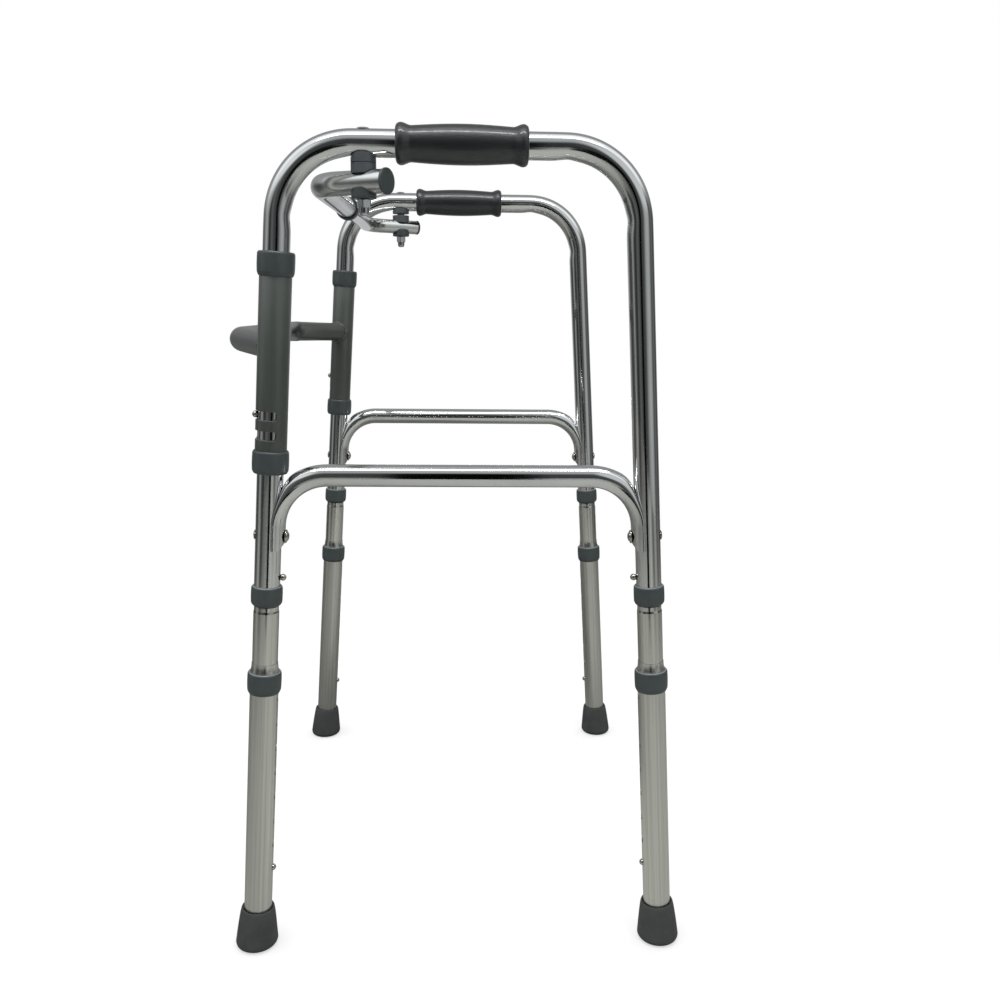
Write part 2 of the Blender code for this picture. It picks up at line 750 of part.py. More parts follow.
def snap_buttons(name, bore_r, wall_r, proud, matrices, ball=False):
    # The same button and leaf at each place, joined by a union
    body, start = button_mesh(bore_r, wall_r, proud, ball)
    data = mesh_data(name, body, zinc_steel())
    leaf = mesh_data(f"{name}_leaf", leaf_mesh(start), zinc_steel())
    for label, (matrix, holder) in matrices.items():
        item = place(f"{name}_{label}", data, matrix, holder)
        boolean(item, "UNION", f"{name}_leaf_{label}", leaf, matrix)


def leg_places(side_holders, leg_holders):
    places = {}
    for end_name, end in ENDS.items():
        for side_name, side in SIDES.items():
            label = f"{end_name}_{side_name}"
            places[label] = (leg_frame(side, end), side_holders[side_name], leg_holders[label])
    return places


def legs(places):
    # The pieces that stay with the side frame, then the ones that slide
    lip = NECK_R + TOUCH
    seat = FRAME_TUBE_R + TOUCH
    collar = turned(
        collar_profile(UPRIGHT_COLLAR_LENGTH, UPRIGHT_COLLAR_WALL, seat, lip), looped=True
    )
    slide_lip = LEG_TUBE_R + TOUCH
    slide_seat = LOWER_TUBE_R + TOUCH
    slide_profile = collar_profile(LEG_COLLAR_LENGTH, LEG_COLLAR_WALL, slide_seat, slide_lip)
    slide_collar = turned(flipped(slide_profile, LEG_COLLAR_LENGTH)[::-1], looped=True)
    upper_lift = Matrix.Translation((0, 0, along(UPRIGHT_COLLAR_END)))
    top = along(LOWER_TUBE_TOP) + TOUCH + COLLAR_LIP
    lower_lift = Matrix.Translation((0, 0, top - LEG_COLLAR_LENGTH))
    shapes = {
        "leg_inner_tube": mesh_data("leg_inner_tube", leg_tube(), satin_tube()),
        "upright_collar": mesh_data("upright_collar", collar, dark_plastic()),
        "leg_lower_tube": mesh_data("leg_lower_tube", lower_tube(), satin_tube()),
        "leg_collar": mesh_data("leg_collar", slide_collar, dark_plastic()),
        "rubber_tip": mesh_data("rubber_tip", rubber_tip(), tip_rubber()),
    }
    inner_holes = mesh_data("leg_tube_holes", leg_tube_holes())
    lower_holes = mesh_data("lower_tube_holes", lower_tube_holes())
    for label, (frame, fixed, sliding) in places.items():
        tube = place(f"leg_inner_tube_{label}", shapes["leg_inner_tube"], frame, fixed)
        boolean(tube, "DIFFERENCE", f"leg_tube_holes_{label}", inner_holes, frame)
        place(f"upright_collar_{label}", shapes["upright_collar"], frame @ upper_lift, fixed)
        slider = place(f"leg_lower_tube_{label}", shapes["leg_lower_tube"], frame, sliding)
        boolean(slider, "DIFFERENCE", f"lower_tube_holes_{label}", lower_holes, frame)
        place(f"leg_collar_{label}", shapes["leg_collar"], frame @ lower_lift, sliding)
        place(f"rubber_tip_{label}", shapes["rubber_tip"], frame, sliding)


def leg_buttons(places):
    upper, lower = {}, {}
    upper_lift = Matrix.Translation((0, 0, along(LEG_BUTTON_HEIGHT)))
    lower_lift = Matrix.Translation((0, 0, along(HEIGHT_BUTTON_HEIGHT)))
    for label, (frame, fixed, _) in places.items():
        upper[label] = (frame @ upper_lift, fixed)
        lower[label] = (frame @ lower_lift, fixed)
    neck_bore = NECK_R - TUBE_WALL
    leg_bore = LEG_TUBE_R - TUBE_WALL
    snap_buttons("leg_lock_button", neck_bore, FRAME_TUBE_R, LEG_BUTTON_PROUD, upper, ball=True)
    snap_buttons("height_button", leg_bore, LOWER_TUBE_R, HEIGHT_BUTTON_PROUD, lower)


def fold_buttons(holders):
    # These point forward, so the leg's frame is turned half round its axis
    turn = Matrix.Rotation(math.pi, 4, "Z")
    lift = Matrix.Translation((0, 0, along(UPPER_SLOT_HEIGHT)))
    places = {}
    for name, side in SIDES.items():
        places[name] = (leg_frame(side, ENDS["front"]) @ lift @ turn, holders[name])
    snap_buttons("fold_lock_button", TUBE_BORE_R, SLEEVE_R, FOLD_BUTTON_PROUD, places)


# Front brace

def sleeve_ends():
    low = along(SLEEVE_BOTTOM) + COLLAR_LIP + TOUCH
    high = along(SLEEVE_TOP) - COLLAR_LIP - TOUCH
    return low, high


def brace_path():
    # In the plane square to the sleeves: slanted arms from their axes to a straight middle
    outline = []
    for side in SIDES.values():
        frame = leg_frame(side, ENDS["front"])
        root = frame @ Vector((0, 0, along(BRACE_HEIGHT)))
        corner = frame @ Vector((-side * BRACE_ARM_RUN, -BRACE_REACH, along(BRACE_HEIGHT)))
        outline.append([root, corner])
    near, far = outline
    return bent_path(near + far[::-1], BRACE_BEND_RADIUS)


def slot_cutter(side):
    # Two bands round the sleeve, from the front past its outer side
    inner, outer = SLEEVE_BORE_R * CUT_SHORT, SLEEVE_R * CUT_PAST
    bands = []
    for height in (UPPER_SLOT_HEIGHT, UPPER_SLOT_HEIGHT - SLOT_SPACING):
        low, high = along(height) - SLOT_HEIGHT / 2, along(height) + SLOT_HEIGHT / 2
        rings = []
        for k in range(SLOT_STEPS + 1):
            turn = SLOT_START + (SLOT_END - SLOT_START) * k / SLOT_STEPS
            x, y = side * math.sin(turn), -math.cos(turn)
            edge = [(inner, low), (outer, low), (outer, high), (inner, high)]
            rings.append([(x * radius, y * radius, rise) for radius, rise in edge])
        bands.append(skin(rings))
    return together(bands)


def front_brace():
    # The cross tube is coped round each sleeve and welded to it
    square = leg_frame(1, ENDS["front"]).to_3x3() @ Vector((0, 0, 1))
    tube = tube_along(brace_path(), square, BRACE_TUBE_R, BRACE_TUBE_R - TUBE_WALL)
    item = place("front_brace", mesh_data("front_brace", tube, painted_brace()), Matrix())
    low, high = sleeve_ends()
    cope_r = SLEEVE_BORE_R + SLEEVE_WALL / 2
    cope = mesh_data("sleeve_cope", rod((0, 0, low), (0, 0, high), cope_r, TUBE_SIDES))
    profile = [(SLEEVE_BORE_R, low), (SLEEVE_R, low), (SLEEVE_R, high), (SLEEVE_BORE_R, high)]
    sleeve = mesh_data("sleeve", turned(profile, looped=True), painted_brace())
    for name, side in SIDES.items():
        frame = leg_frame(side, ENDS["front"])
        boolean(item, "DIFFERENCE", f"sleeve_cope_{name}", cope, frame)
        boolean(item, "UNION", f"sleeve_{name}", sleeve, frame)
        slots = mesh_data(f"slots_{name}", slot_cutter(side))
        boolean(item, "DIFFERENCE", f"slots_{name}", slots, frame)
        # A vent from the cross tube into the sleeve's bore
        start = Vector((0, 0, along(BRACE_HEIGHT)))
        arm = Vector((-side * math.cos(BRACE_ARM_ANGLE), -math.sin(BRACE_ARM_ANGLE), 0))
        vent = rod(start, start + arm * SLEEVE_R * CUT_PAST, BRACE_VENT_R)
        boolean(item, "DIFFERENCE", f"vent_{name}", mesh_data(f"vent_{name}", vent), frame)


def sleeve_collars():
    seat = SLEEVE_R + TOUCH
    profile = collar_profile(SLEEVE_COLLAR_LENGTH, SLEEVE_COLLAR_WALL, seat, SLEEVE_BORE_R)
    bottom = mesh_data("sleeve_collar_bottom", turned(profile, looped=True), dark_plastic())
    upside = flipped(profile, SLEEVE_COLLAR_LENGTH)[::-1]
    top = mesh_data("sleeve_collar_top", turned(upside, looped=True), dark_plastic())
    for name, side in SIDES.items():
        frame = leg_frame(side, ENDS["front"])
        low = Matrix.Translation((0, 0, along(SLEEVE_BOTTOM)))
        high = Matrix.Translation((0, 0, along(SLEEVE_TOP) - SLEEVE_COLLAR_LENGTH))
        place(f"sleeve_collar_bottom_{name}", bottom, frame @ low)
        place(f"sleeve_collar_top_{name}", top, frame @ high)


# Telescoping bar, drawn in each pin's frame: origin at the pin on the bar's centre line

def bar_corners(side, reach):
    # From the arm's end round the bend to a point of the cross run at world x = reach
    sine, cosine = math.sin(BAR_ARM_ANGLE), math.cos(BAR_ARM_ANGLE)
    end = (side * BAR_ARM_PAST_PIN * sine, BAR_ARM_PAST_PIN * cosine, 0)
    corner_x = -BAR_FORWARD_OF_PIN * math.tan(BAR_ARM_ANGLE)
    corner = (side * corner_x, -BAR_FORWARD_OF_PIN, 0)
    finish = (reach - side * FRAME_HALF_WIDTH, -BAR_FORWARD_OF_PIN, 0)
    return [end, corner, finish]


def bar_path(side):
    reach = 0 if side > 0 else BAR_OVERLAP
    return bent_path(bar_corners(side, reach), BAR_BEND_RADIUS)


def bar_radius(side):
    return BAR_OUTER_R if side > 0 else BAR_INNER_R


def crossbars(holders):
    up = Vector((0, 0, 1))
    names = {"left": "crossbar_outer_tube", "right": "crossbar_inner_tube"}
    reach = BAR_OUTER_R * CUT_PAST
    hole = rod((0, 0, -reach), (0, 0, reach), BOLT_R + PIVOT_HOLE_CLEARANCE, PIN_SIDES)
    hole_data = mesh_data("pivot_hole", hole)
    for name, side in SIDES.items():
        radius = bar_radius(side)
        tube = tube_along(bar_path(side), up, radius, radius - TUBE_WALL)
        data = mesh_data(names[name], tube, polished_tube())
        item = place(names[name], data, pin_place(side), holders[name])
        boolean(item, "DIFFERENCE", f"pivot_hole_{name}", hole_data, pin_place(side))


def crossbar_ring(holders):
    # A stepped ring on the end of the outer tube, turned about Z and laid along X
    seat = BAR_OUTER_R + TOUCH
    lip = BAR_INNER_R + TOUCH
    length = RING_LENGTH + RING_STEP_LENGTH
    profile = [
        (lip, 0),
        (RING_STEP_R, 0),
        (RING_STEP_R, RING_STEP_LENGTH),
        (RING_R, RING_STEP_LENGTH),
        (RING_R, length - RING_EDGE),
        (RING_R - RING_EDGE, length),
        (seat, length),
        (seat, RING_LIP),
        (lip, RING_LIP),
    ]
    data = mesh_data("crossbar_ring", turned(profile, looped=True), dark_plastic())
    lie = Matrix.Translation((-RING_LIP - TOUCH, BAR_Y, BAR_HEIGHT)) @ Matrix.Rotation(
        math.pi / 2, 4, "Y"
    )
    place("crossbar_ring", data, lie, holders["left"])


def end_caps(holders):
    for name, side in SIDES.items():
        radius = bar_radius(side)
        plug = radius - TUBE_WALL - TOUCH
        flange = radius + CAP_FLANGE_WALL
        profile = [
            (0, -CAP_PLUG_LENGTH),
            (plug - CAP_EDGE, -CAP_PLUG_LENGTH),
            (plug, CAP_EDGE - CAP_PLUG_LENGTH),
            (plug, TOUCH),
            (flange, TOUCH),
            (flange, CAP_FLANGE_LENGTH - CAP_EDGE),
            (flange - CAP_EDGE, CAP_FLANGE_LENGTH),
            (0, CAP_FLANGE_LENGTH + CAP_CROWN),
        ]
        data = mesh_data(f"crossbar_end_cap_{name}", turned(profile), dark_plastic())
        place_on, way = bar_path(side)[0]
        turn = (-way).to_track_quat("Z", "Y").to_matrix().to_4x4()
        matrix = pin_place(side) @ Matrix.Translation(place_on) @ turn
        place(f"crossbar_end_cap_{name}", data, matrix, holders[name])


# Pivot stack, each piece in the pin's frame

def tube_clear_cutter():
    # The side frame's tube with a little room round it, seen from the pin
    mesh = solid_along(side_tube_path(), Vector((1, 0, 0)), FRAME_TUBE_R + TOUCH)
    bmesh.ops.translate(mesh, verts=mesh.verts, vec=(0, -PIN_Y, -BAR_HEIGHT))
    return mesh


def arm_clear_cutter(side):
    return solid_along(bar_path(side), Vector((0, 0, 1)), bar_radius(side) + TOUCH)


def round_block(low, high, hole, ease):
    # A thick washer with one eased edge at its low end
    profile = [(hole, low), (SADDLE_R - ease, low), (SADDLE_R, low + ease)]
    profile += [(SADDLE_R, high), (hole, high)]
    return turned(profile, looped=True)


def pivot_stack(name, side, frame_holder, bar_holder):
    place_on = pin_place(side)
    tube_under = TOP_TUBE_HEIGHT - FRAME_TUBE_R - BAR_HEIGHT
    split = SPLIT_HEIGHT - BAR_HEIGHT
    radius = bar_radius(side)
    snug = BOLT_R + HOLE_CLEARANCE
    loose = BOLT_R + PIVOT_HOLE_CLEARANCE
    upper = round_block(split, tube_under + UPPER_SADDLE_GRASP, snug, SADDLE_EDGE)
    item = place(f"pivot_saddle_upper_{name}",
                 mesh_data(f"pivot_saddle_upper_{name}", upper, dark_plastic()),
                 place_on, frame_holder)
    boolean(item, "DIFFERENCE", f"saddle_tube_{name}",
            mesh_data(f"saddle_tube_{name}", tube_clear_cutter()), place_on)
    arm = mesh_data(f"saddle_arm_{name}", arm_clear_cutter(side))
    lower = round_block(radius - LOWER_SADDLE_GRASP, split - PIVOT_GAP, loose, 0)
    item = place(f"pivot_saddle_lower_{name}",
                 mesh_data(f"pivot_saddle_lower_{name}", lower, dark_plastic()),
                 place_on, bar_holder)
    boolean(item, "DIFFERENCE", f"saddle_arm_above_{name}", arm, place_on)
    washer_low = -radius - WASHER_BELOW_BAR
    washer = round_block(washer_low, WASHER_GRASP - radius, loose, WASHER_EDGE)
    item = place(f"pivot_washer_{name}",
                 mesh_data(f"pivot_washer_{name}", washer, dark_plastic()),
                 place_on, bar_holder)
    boolean(item, "DIFFERENCE", f"saddle_arm_below_{name}", arm, place_on)
    nut_top = washer_low - PIVOT_GAP
    pivot_nut(name, nut_top, place_on, frame_holder)
    pivot_bolt(name, tube_under + 2 * FRAME_TUBE_R, nut_top, place_on, frame_holder)


def pivot_nut(name, top, place_on, holder):
    # An acorn nut: a hexagon and a tapered dome, with a blind hole from above
    low = top - NUT_HEX_HEIGHT
    tip = low - NUT_DOME_HEIGHT
    hexagon = [[(x, y, z) for x, y in circle(NUT_HEX_R, NUT_SIDES)] for z in (top, low)]
    root = low + NUT_TIP_EDGE
    dome = [(0, root), (NUT_DOME_R, root), (NUT_DOME_R, low), (NUT_TIP_R, tip + NUT_TIP_EDGE)]
    dome += [(NUT_TIP_R - NUT_TIP_EDGE, tip), (0, tip)]
    data = mesh_data(f"pivot_nut_{name}", skin(hexagon), zinc_steel())
    item = place(f"pivot_nut_{name}", data, place_on, holder)
    dome_data = mesh_data(f"nut_dome_{name}", turned(dome, PIN_SIDES))
    boolean(item, "UNION", f"nut_dome_{name}", dome_data, place_on)
    depth = tip + NUT_SKIN
    hole = rod((0, 0, depth), (0, 0, top + NUT_SKIN), BOLT_R + TOUCH, PIN_SIDES)
    boolean(item, "DIFFERENCE", f"nut_hole_{name}", mesh_data(f"nut_hole_{name}", hole), place_on)


def pivot_bolt(name, tube_top, nut_top, place_on, holder):
    seat = tube_top + TOUCH
    end = nut_top - NUT_HEX_HEIGHT - NUT_DOME_HEIGHT + NUT_SKIN + TOUCH
    profile = [(0, end), (BOLT_R, end), (BOLT_R, seat)]
    profile += domed(BOLT_HEAD_R, seat, BOLT_HEAD_HEIGHT)
    profile.append((0, seat + BOLT_HEAD_HEIGHT))
    data = mesh_data(f"pivot_bolt_{name}", turned(profile, PIN_SIDES), zinc_steel())
    place(f"pivot_bolt_{name}", data, place_on, holder)


def build():
    clear_scene()
    side_holders, leg_holders, bar_holders = {}, {}, {}
    for name, side in SIDES.items():
        side_holders[name] = empty(f"fold_axis_{name}", leg_frame(side, ENDS["front"]))
        bar_holders[name] = empty(f"bar_pivot_{name}", pin_place(side), side_holders[name])
        for end_name, end in ENDS.items():
            label = f"{end_name}_{name}"
            leg_holders[label] = empty(
                f"leg_slide_{label}", leg_frame(side, end), side_holders[name]
            )
    places = leg_places(side_holders, leg_holders)
    front_brace()
    sleeve_collars()
    side_frame_tubes(side_holders)
    arch_tubes(side_holders)
    rivets(side_holders)
    grips(side_holders)
    legs(places)
    leg_buttons(places)
    fold_buttons(side_holders)
    crossbars(bar_holders)
    crossbar_ring(bar_holders)
    end_caps(bar_holders)
    for name, side in SIDES.items():
        pivot_stack(name, side, side_holders[name], bar_holders[name])
    bpy.context.view_layer.update()


build()
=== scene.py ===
import math

import bmesh
import bpy
import numpy as np
from mathutils import Matrix


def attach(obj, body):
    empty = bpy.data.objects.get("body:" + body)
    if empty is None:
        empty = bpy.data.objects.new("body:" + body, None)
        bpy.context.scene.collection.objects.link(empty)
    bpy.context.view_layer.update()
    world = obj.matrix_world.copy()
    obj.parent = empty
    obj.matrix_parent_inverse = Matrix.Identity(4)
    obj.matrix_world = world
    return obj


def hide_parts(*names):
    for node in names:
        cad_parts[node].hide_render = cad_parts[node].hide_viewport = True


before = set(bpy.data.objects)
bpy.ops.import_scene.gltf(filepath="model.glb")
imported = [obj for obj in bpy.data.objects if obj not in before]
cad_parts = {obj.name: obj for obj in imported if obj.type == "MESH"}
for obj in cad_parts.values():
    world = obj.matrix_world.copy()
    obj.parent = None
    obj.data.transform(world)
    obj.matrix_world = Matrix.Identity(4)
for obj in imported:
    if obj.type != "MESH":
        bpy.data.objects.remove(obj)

scene = bpy.context.scene
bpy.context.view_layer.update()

# Lay-out of the walker, as in the CAD: metres, z up, floor at 0, front at -y
walker = {
    "halfWidth": 0.265,
    "footSpread": 0.2162,
    "lean": math.atan(0.0625),
    "topHeight": 0.818,
    "topBend": 0.0705,
    "tubeR": 0.0127,
    "wall": 0.0012,
    "touch": 0.0003,      # gap between pieces that touch
    "clearance": 0.0004,  # gap round buttons and rivets
    "archHeight": 0.5083,
    "archEnd": 0.435,
    "rivetHeight": 0.4485,
    "buttonHeight": 0.4064,
    "uprightEnd": 0.3813,
    "uprightCollarEnd": 0.3777,
    "heightButton": 0.090,
    "lowerTubeTop": 0.304,
}
sides = {"left": 1, "right": -1}
ends = {"front": -1, "rear": 1}
cosLean, sinLean, tanLean = (f(walker["lean"]) for f in (math.cos, math.sin, math.tan))
topHalf = walker["footSpread"] - walker["topHeight"] * tanLean
topReach = walker["topBend"] * math.tan((math.pi / 2 - walker["lean"]) / 2)
topStraight = topHalf - topReach
buttonHole = {"radius": 0.0038, "margin": 0.0055, "rows": 8, "columns": (-4, 4)}


# Numbers and frames

def unit(v):
    # v / |v|
    return v / np.linalg.norm(v, axis=-1, keepdims=True)


def smooth(t):
    # 3 t^2 - 2 t^3, with t held between 0 and 1
    t = np.clip(t, 0, 1)
    return t * t * (3 - 2 * t)


def span(limits, share):
    # From the first limit to the second, by the share
    return limits[0] + (limits[1] - limits[0]) * share


def bell(x, width):
    # e to the minus (x / width)^2
    return np.exp(-(x / width) ** 2)


def turnsOf(columns):
    return 2 * np.pi * np.arange(columns) / columns


def polar(r, a, z):
    # (r cos a, r sin a, z), spread to one shape
    return np.stack(np.broadcast_arrays(r * np.cos(a), r * np.sin(a), z), -1)


def shift(x, y, z):
    m = np.eye(4)
    m[:3, 3] = x, y, z
    return m


def axes(x, y, z):
    m = np.eye(4)
    m[:3, 0], m[:3, 1], m[:3, 2] = x, y, z
    return m


alongY = axes((1, 0, 0), (0, 0, -1), (0, 1, 0))  # lays a shape turned about z along y


def moved(points, matrix):
    # matrix rotation times the point, plus the matrix's place
    return points @ matrix[:3, :3].T + matrix[:3, 3]


def legFrame(side, end, height=0.0):
    # A leg's own frame: z up its leaning axis, y towards the walker's middle
    m = axes((-end, 0, 0), (0, -end * cosLean, -sinLean), (0, -end * sinLean, cosLean))
    m[:3, 3] = side * walker["halfWidth"], end * walker["footSpread"], 0
    return m @ shift(0, 0, height / cosLean)


def eased(corners, cut, steps=5):
    # Rounds a profile's corners: corner c becomes (1-t)^2 a + 2t(1-t) c + t^2 b, where a and
    # b lie at most cut away from it on its two sides. One more point lies just past each.
    c = np.array(corners, float)
    cut = np.broadcast_to(np.array(cut, float), len(c))[:, None]
    back, ahead = np.roll(c, 1, 0) - c, np.roll(c, -1, 0) - c
    backLong = np.linalg.norm(back, axis=1, keepdims=True)
    aheadLong = np.linalg.norm(ahead, axis=1, keepdims=True)
    a = c + back / np.maximum(backLong, 1e-9) * np.minimum(cut, backLong * 0.4)
    b = c + ahead / np.maximum(aheadLong, 1e-9) * np.minimum(cut, aheadLong * 0.4)
    t = np.linspace(0, 1, steps + 1)[None, :, None]
    arc = (1 - t) ** 2 * a[:, None] + 2 * t * (1 - t) * c[:, None] + t ** 2 * b[:, None]
    past = c[:, None] + (np.stack([a, b], 1) - c[:, None]) * 1.2
    return np.concatenate([past[:, :1], arc, past[:, 1:]], 1).reshape(-1, 2)


class Shell:
    # The points and faces of one piece, gathered from grids worked out as whole arrays
    def __init__(self):
        self.points, self.flow, self.faces, self.count = [], [], [], 0

    def add(self, points, flow=None):
        shape = points.shape[:-1]
        self.points.append(points.reshape(-1, 3))
        self.flow.append((points if flow is None else flow).reshape(-1, 3))
        index = self.count + np.arange(self.points[-1].shape[0]).reshape(shape)
        self.count += index.size
        return index

    def cells(self, index, around=True, looped=False, drop=None):
        # Quads between neighbours in the grid; around and looped close it on itself
        i = np.concatenate([index, index[:, :1]], 1) if around else index
        i = np.concatenate([i, i[:1]], 0) if looped else i
        quads = np.stack([i[:-1, :-1], i[:-1, 1:], i[1:, 1:], i[1:, :-1]], -1)
        self.faces.append(quads[~drop] if drop is not None else quads.reshape(-1, 4))
        return index

    def grid(self, points, flow=None, around=True, looped=False):
        return self.cells(self.add(points, flow), around, looped)

    def ring(self, outside, inside):
        # A skin and its bore, each as (points, flow), joined at both ends
        self.grid(*(np.concatenate([a, b[::-1]]) for a, b in zip(outside, inside)), looped=True)


def turned(shell, profile, matrix, columns=56, looped=False, radiusAt=None):
    # A profile of (radius, height) turned about z: (r cos a, r sin a, h), then moved by the
    # matrix. A radius of 0 is a pole. radiusAt may change r round the turn and up the height.
    profile = np.array(profile, float)
    a = turnsOf(columns)[None, :]
    r, h = profile[:, :1], profile[:, 1:]
    local = polar(radiusAt(r, a, h) if radiusAt else r, a, h)
    shell.grid(moved(local, matrix), local, looped=looped)
    return shell


class Route:
    # A line through corners, with a bend of one radius at each inner one, asked by distance
    # s: origin + way s on a run, origin + way R sin(s/R) + side R (1 - cos(s/R)) on a bend
    def __init__(self, corners, bendR, normal):
        corners = np.array(corners, float)
        self.normal = np.array(normal, float)
        self.runs, self.bends, s, at = [], [], 0.0, corners[0]
        ways = unit(np.diff(corners, axis=0))
        for k, way in enumerate(ways):
            last = k + 1 == len(ways)
            turn = 0 if last else math.acos(way @ ways[k + 1])
            stop = corners[k + 1] - way * bendR * math.tan(turn / 2)
            self.runs.append((s, at, way, None))
            s += np.linalg.norm(stop - at)
            if not last:
                side = unit(ways[k + 1] - way * (way @ ways[k + 1]))
                self.runs.append((s, stop, way, side))
                self.bends.append((s, s + bendR * turn))
                s += bendR * turn
                at = stop + (way * math.sin(turn) + side * (1 - math.cos(turn))) * bendR
        self.length, self.bendR = s, bendR

    def at(self, s):
        place, way = np.zeros((*s.shape, 3)), np.zeros((*s.shape, 3))
        for start, origin, direction, side in self.runs:
            here = s >= start - 1e-9
            d = (s[here] - start)[:, None]
            if side is None:
                place[here], way[here] = origin + direction * d, direction
            else:
                a = d / self.bendR
                place[here] = origin + (direction * np.sin(a) + side * (1 - np.cos(a))) * self.bendR
                way[here] = direction * np.cos(a) + side * np.sin(a)
        return place, way

    def marks(self, step, extra=()):
        # Distances for the rows: the ends, each bend in steps, and what extra asks for
        rows = [0, self.length, *extra]
        for start, stop in self.bends:
            rows += list(np.linspace(start, stop, int((stop - start) / step) + 1))
        rows = np.unique(np.round(rows, 7))
        return rows[np.concatenate([[True], np.diff(rows) > 2e-5])]

    def bentShare(self, s, ramp):
        # 0 on the runs and 1 in the bends, smooth over the ramp's length round each end
        share = np.zeros_like(s)
        for start, stop in self.bends:
            share = share + smooth((s - start) / ramp + 0.5) - smooth((s - stop) / ramp + 0.5)
        return share

    def surface(self, turn, s, radius):
        # place + radius (normal cos turn + rise sin turn), where rise = way x normal
        turn, s, radius = np.broadcast_arrays(turn, s, radius)
        return self.offset(s, radius * np.cos(turn), radius * np.sin(turn))

    def offset(self, s, across, lift):
        place, way = self.at(s)
        rise = np.cross(way, self.normal)
        points = place + self.normal * across[..., None] + rise * lift[..., None]
        return points, np.stack([across, lift, s + 0 * across], -1)


def straightUp(matrix):
    # The same surface for a straight tube in a frame: (r cos a, r sin a, h)
    def surface(turn, s, radius):
        local = polar(radius, turn, s)
        return moved(local, matrix), local
    return surface


def wall(shell, surface, rows, outer, inner, columns=64, holes=(), ease=0.0003):
    # A tube's wall: a grid on its outside and one on its bore, joined at the ends. At a hole
    # the grid's cells go, and rings run from the gap's border b to the hole's edge, at
    # b + t (edge - b) for t up to 1. The edge is core + corner * unit(b - core), and core is
    # b held within the hole's straight sides. A hole is drilled straight in, or sawn as a slot
    # with its sides towards the tube's axis.
    turns, heights = turnsOf(columns)[None, :], rows[:, None]
    thick = [np.broadcast_to(np.array(r, float).reshape(-1, 1) if np.ndim(r) < 2 else r,
                             (len(rows), columns)) for r in (outer, inner)]
    layers = [shell.add(*surface(turns, heights, r)) for r in thick]
    drop = np.zeros((len(rows) - 1, columns), bool)
    for hole in holes:
        middle = int(round(hole["turn"] / (2 * np.pi) * columns))
        first, last = middle + hole["columns"][0], middle + hole["columns"][1]
        low, high = (int(np.argmin(abs(rows - hole["height"] - side * hole["gap"])))
                     for side in (-1, 1))
        across, up = last - first, high - low
        drop[low:high, np.arange(first, last) % columns] = True
        ri = np.concatenate([np.full(across, low), np.arange(low, high),
                             np.full(across, high), np.arange(high, low, -1)])
        ci = np.concatenate([np.arange(first, last), np.full(up, last),
                             np.arange(last, first, -1), np.full(up, first)])
        turn = 2 * np.pi * ci / columns - hole["turn"]
        corner, skin, slot = hole["corner"], thick[0][low, 0], "shift" in hole
        straight = np.array(hole["half"]) - corner
        centre = np.array([hole.get("shift", 0.0), 0.0])
        loops = [layers[0][ri, ci % columns]]
        for r, outside in ((skin, True), (thick[1][low, 0], False)):
            x = skin * turn if slot else r * np.sin(turn)
            border = np.stack([x, rows[ri] - hole["height"]], -1)
            core = centre + np.clip(border - centre, -straight, straight)
            to = unit(border - core)
            edge = core + to * (corner + ease * outside)
            stack = [(border + t * (edge - border), r) for t in (0.34, 0.68, 1)]
            stack = [*stack, (core + to * corner, r - ease)] if outside else stack[::-1]
            for flat, depth in stack:
                angle = flat[:, 0] / skin if slot else np.arcsin(flat[:, 0] / depth)
                spots = surface(hole["turn"] + angle, hole["height"] + flat[:, 1], depth)
                loops.append(shell.add(*spots))
        shell.cells(np.stack([*loops, layers[1][ri, ci % columns]]))
    for layer in layers:
        shell.cells(layer, drop=drop)
    for end in (0, -1):
        shell.cells(np.stack([layer[end] for layer in layers]))
    return shell


def easedEnds(rows, outer, inner, ease=0.0003):
    # Rows and radii with a small round on each rim: radius less ease at the very end
    lo, hi = rows[0], rows[-1]
    rows = np.unique(np.round(np.concatenate([rows, [lo + ease, hi - ease]]), 7))
    tip = (rows < lo + ease / 2) | (rows > hi - ease / 2)
    return rows, outer - ease * tip, inner + 0.4 * ease * tip


def buttonRows(height):
    # The rows that a snap button's hole needs
    margin = buttonHole["margin"]
    return list(height + np.linspace(-margin, margin, buttonHole["rows"] + 1))


def buttonHoleAt(height, turn=math.pi / 2):
    radius = buttonHole["radius"]
    return {"turn": turn, "height": height, "half": (radius, radius), "corner": radius,
            "columns": buttonHole["columns"], "gap": buttonHole["margin"]}


# Materials

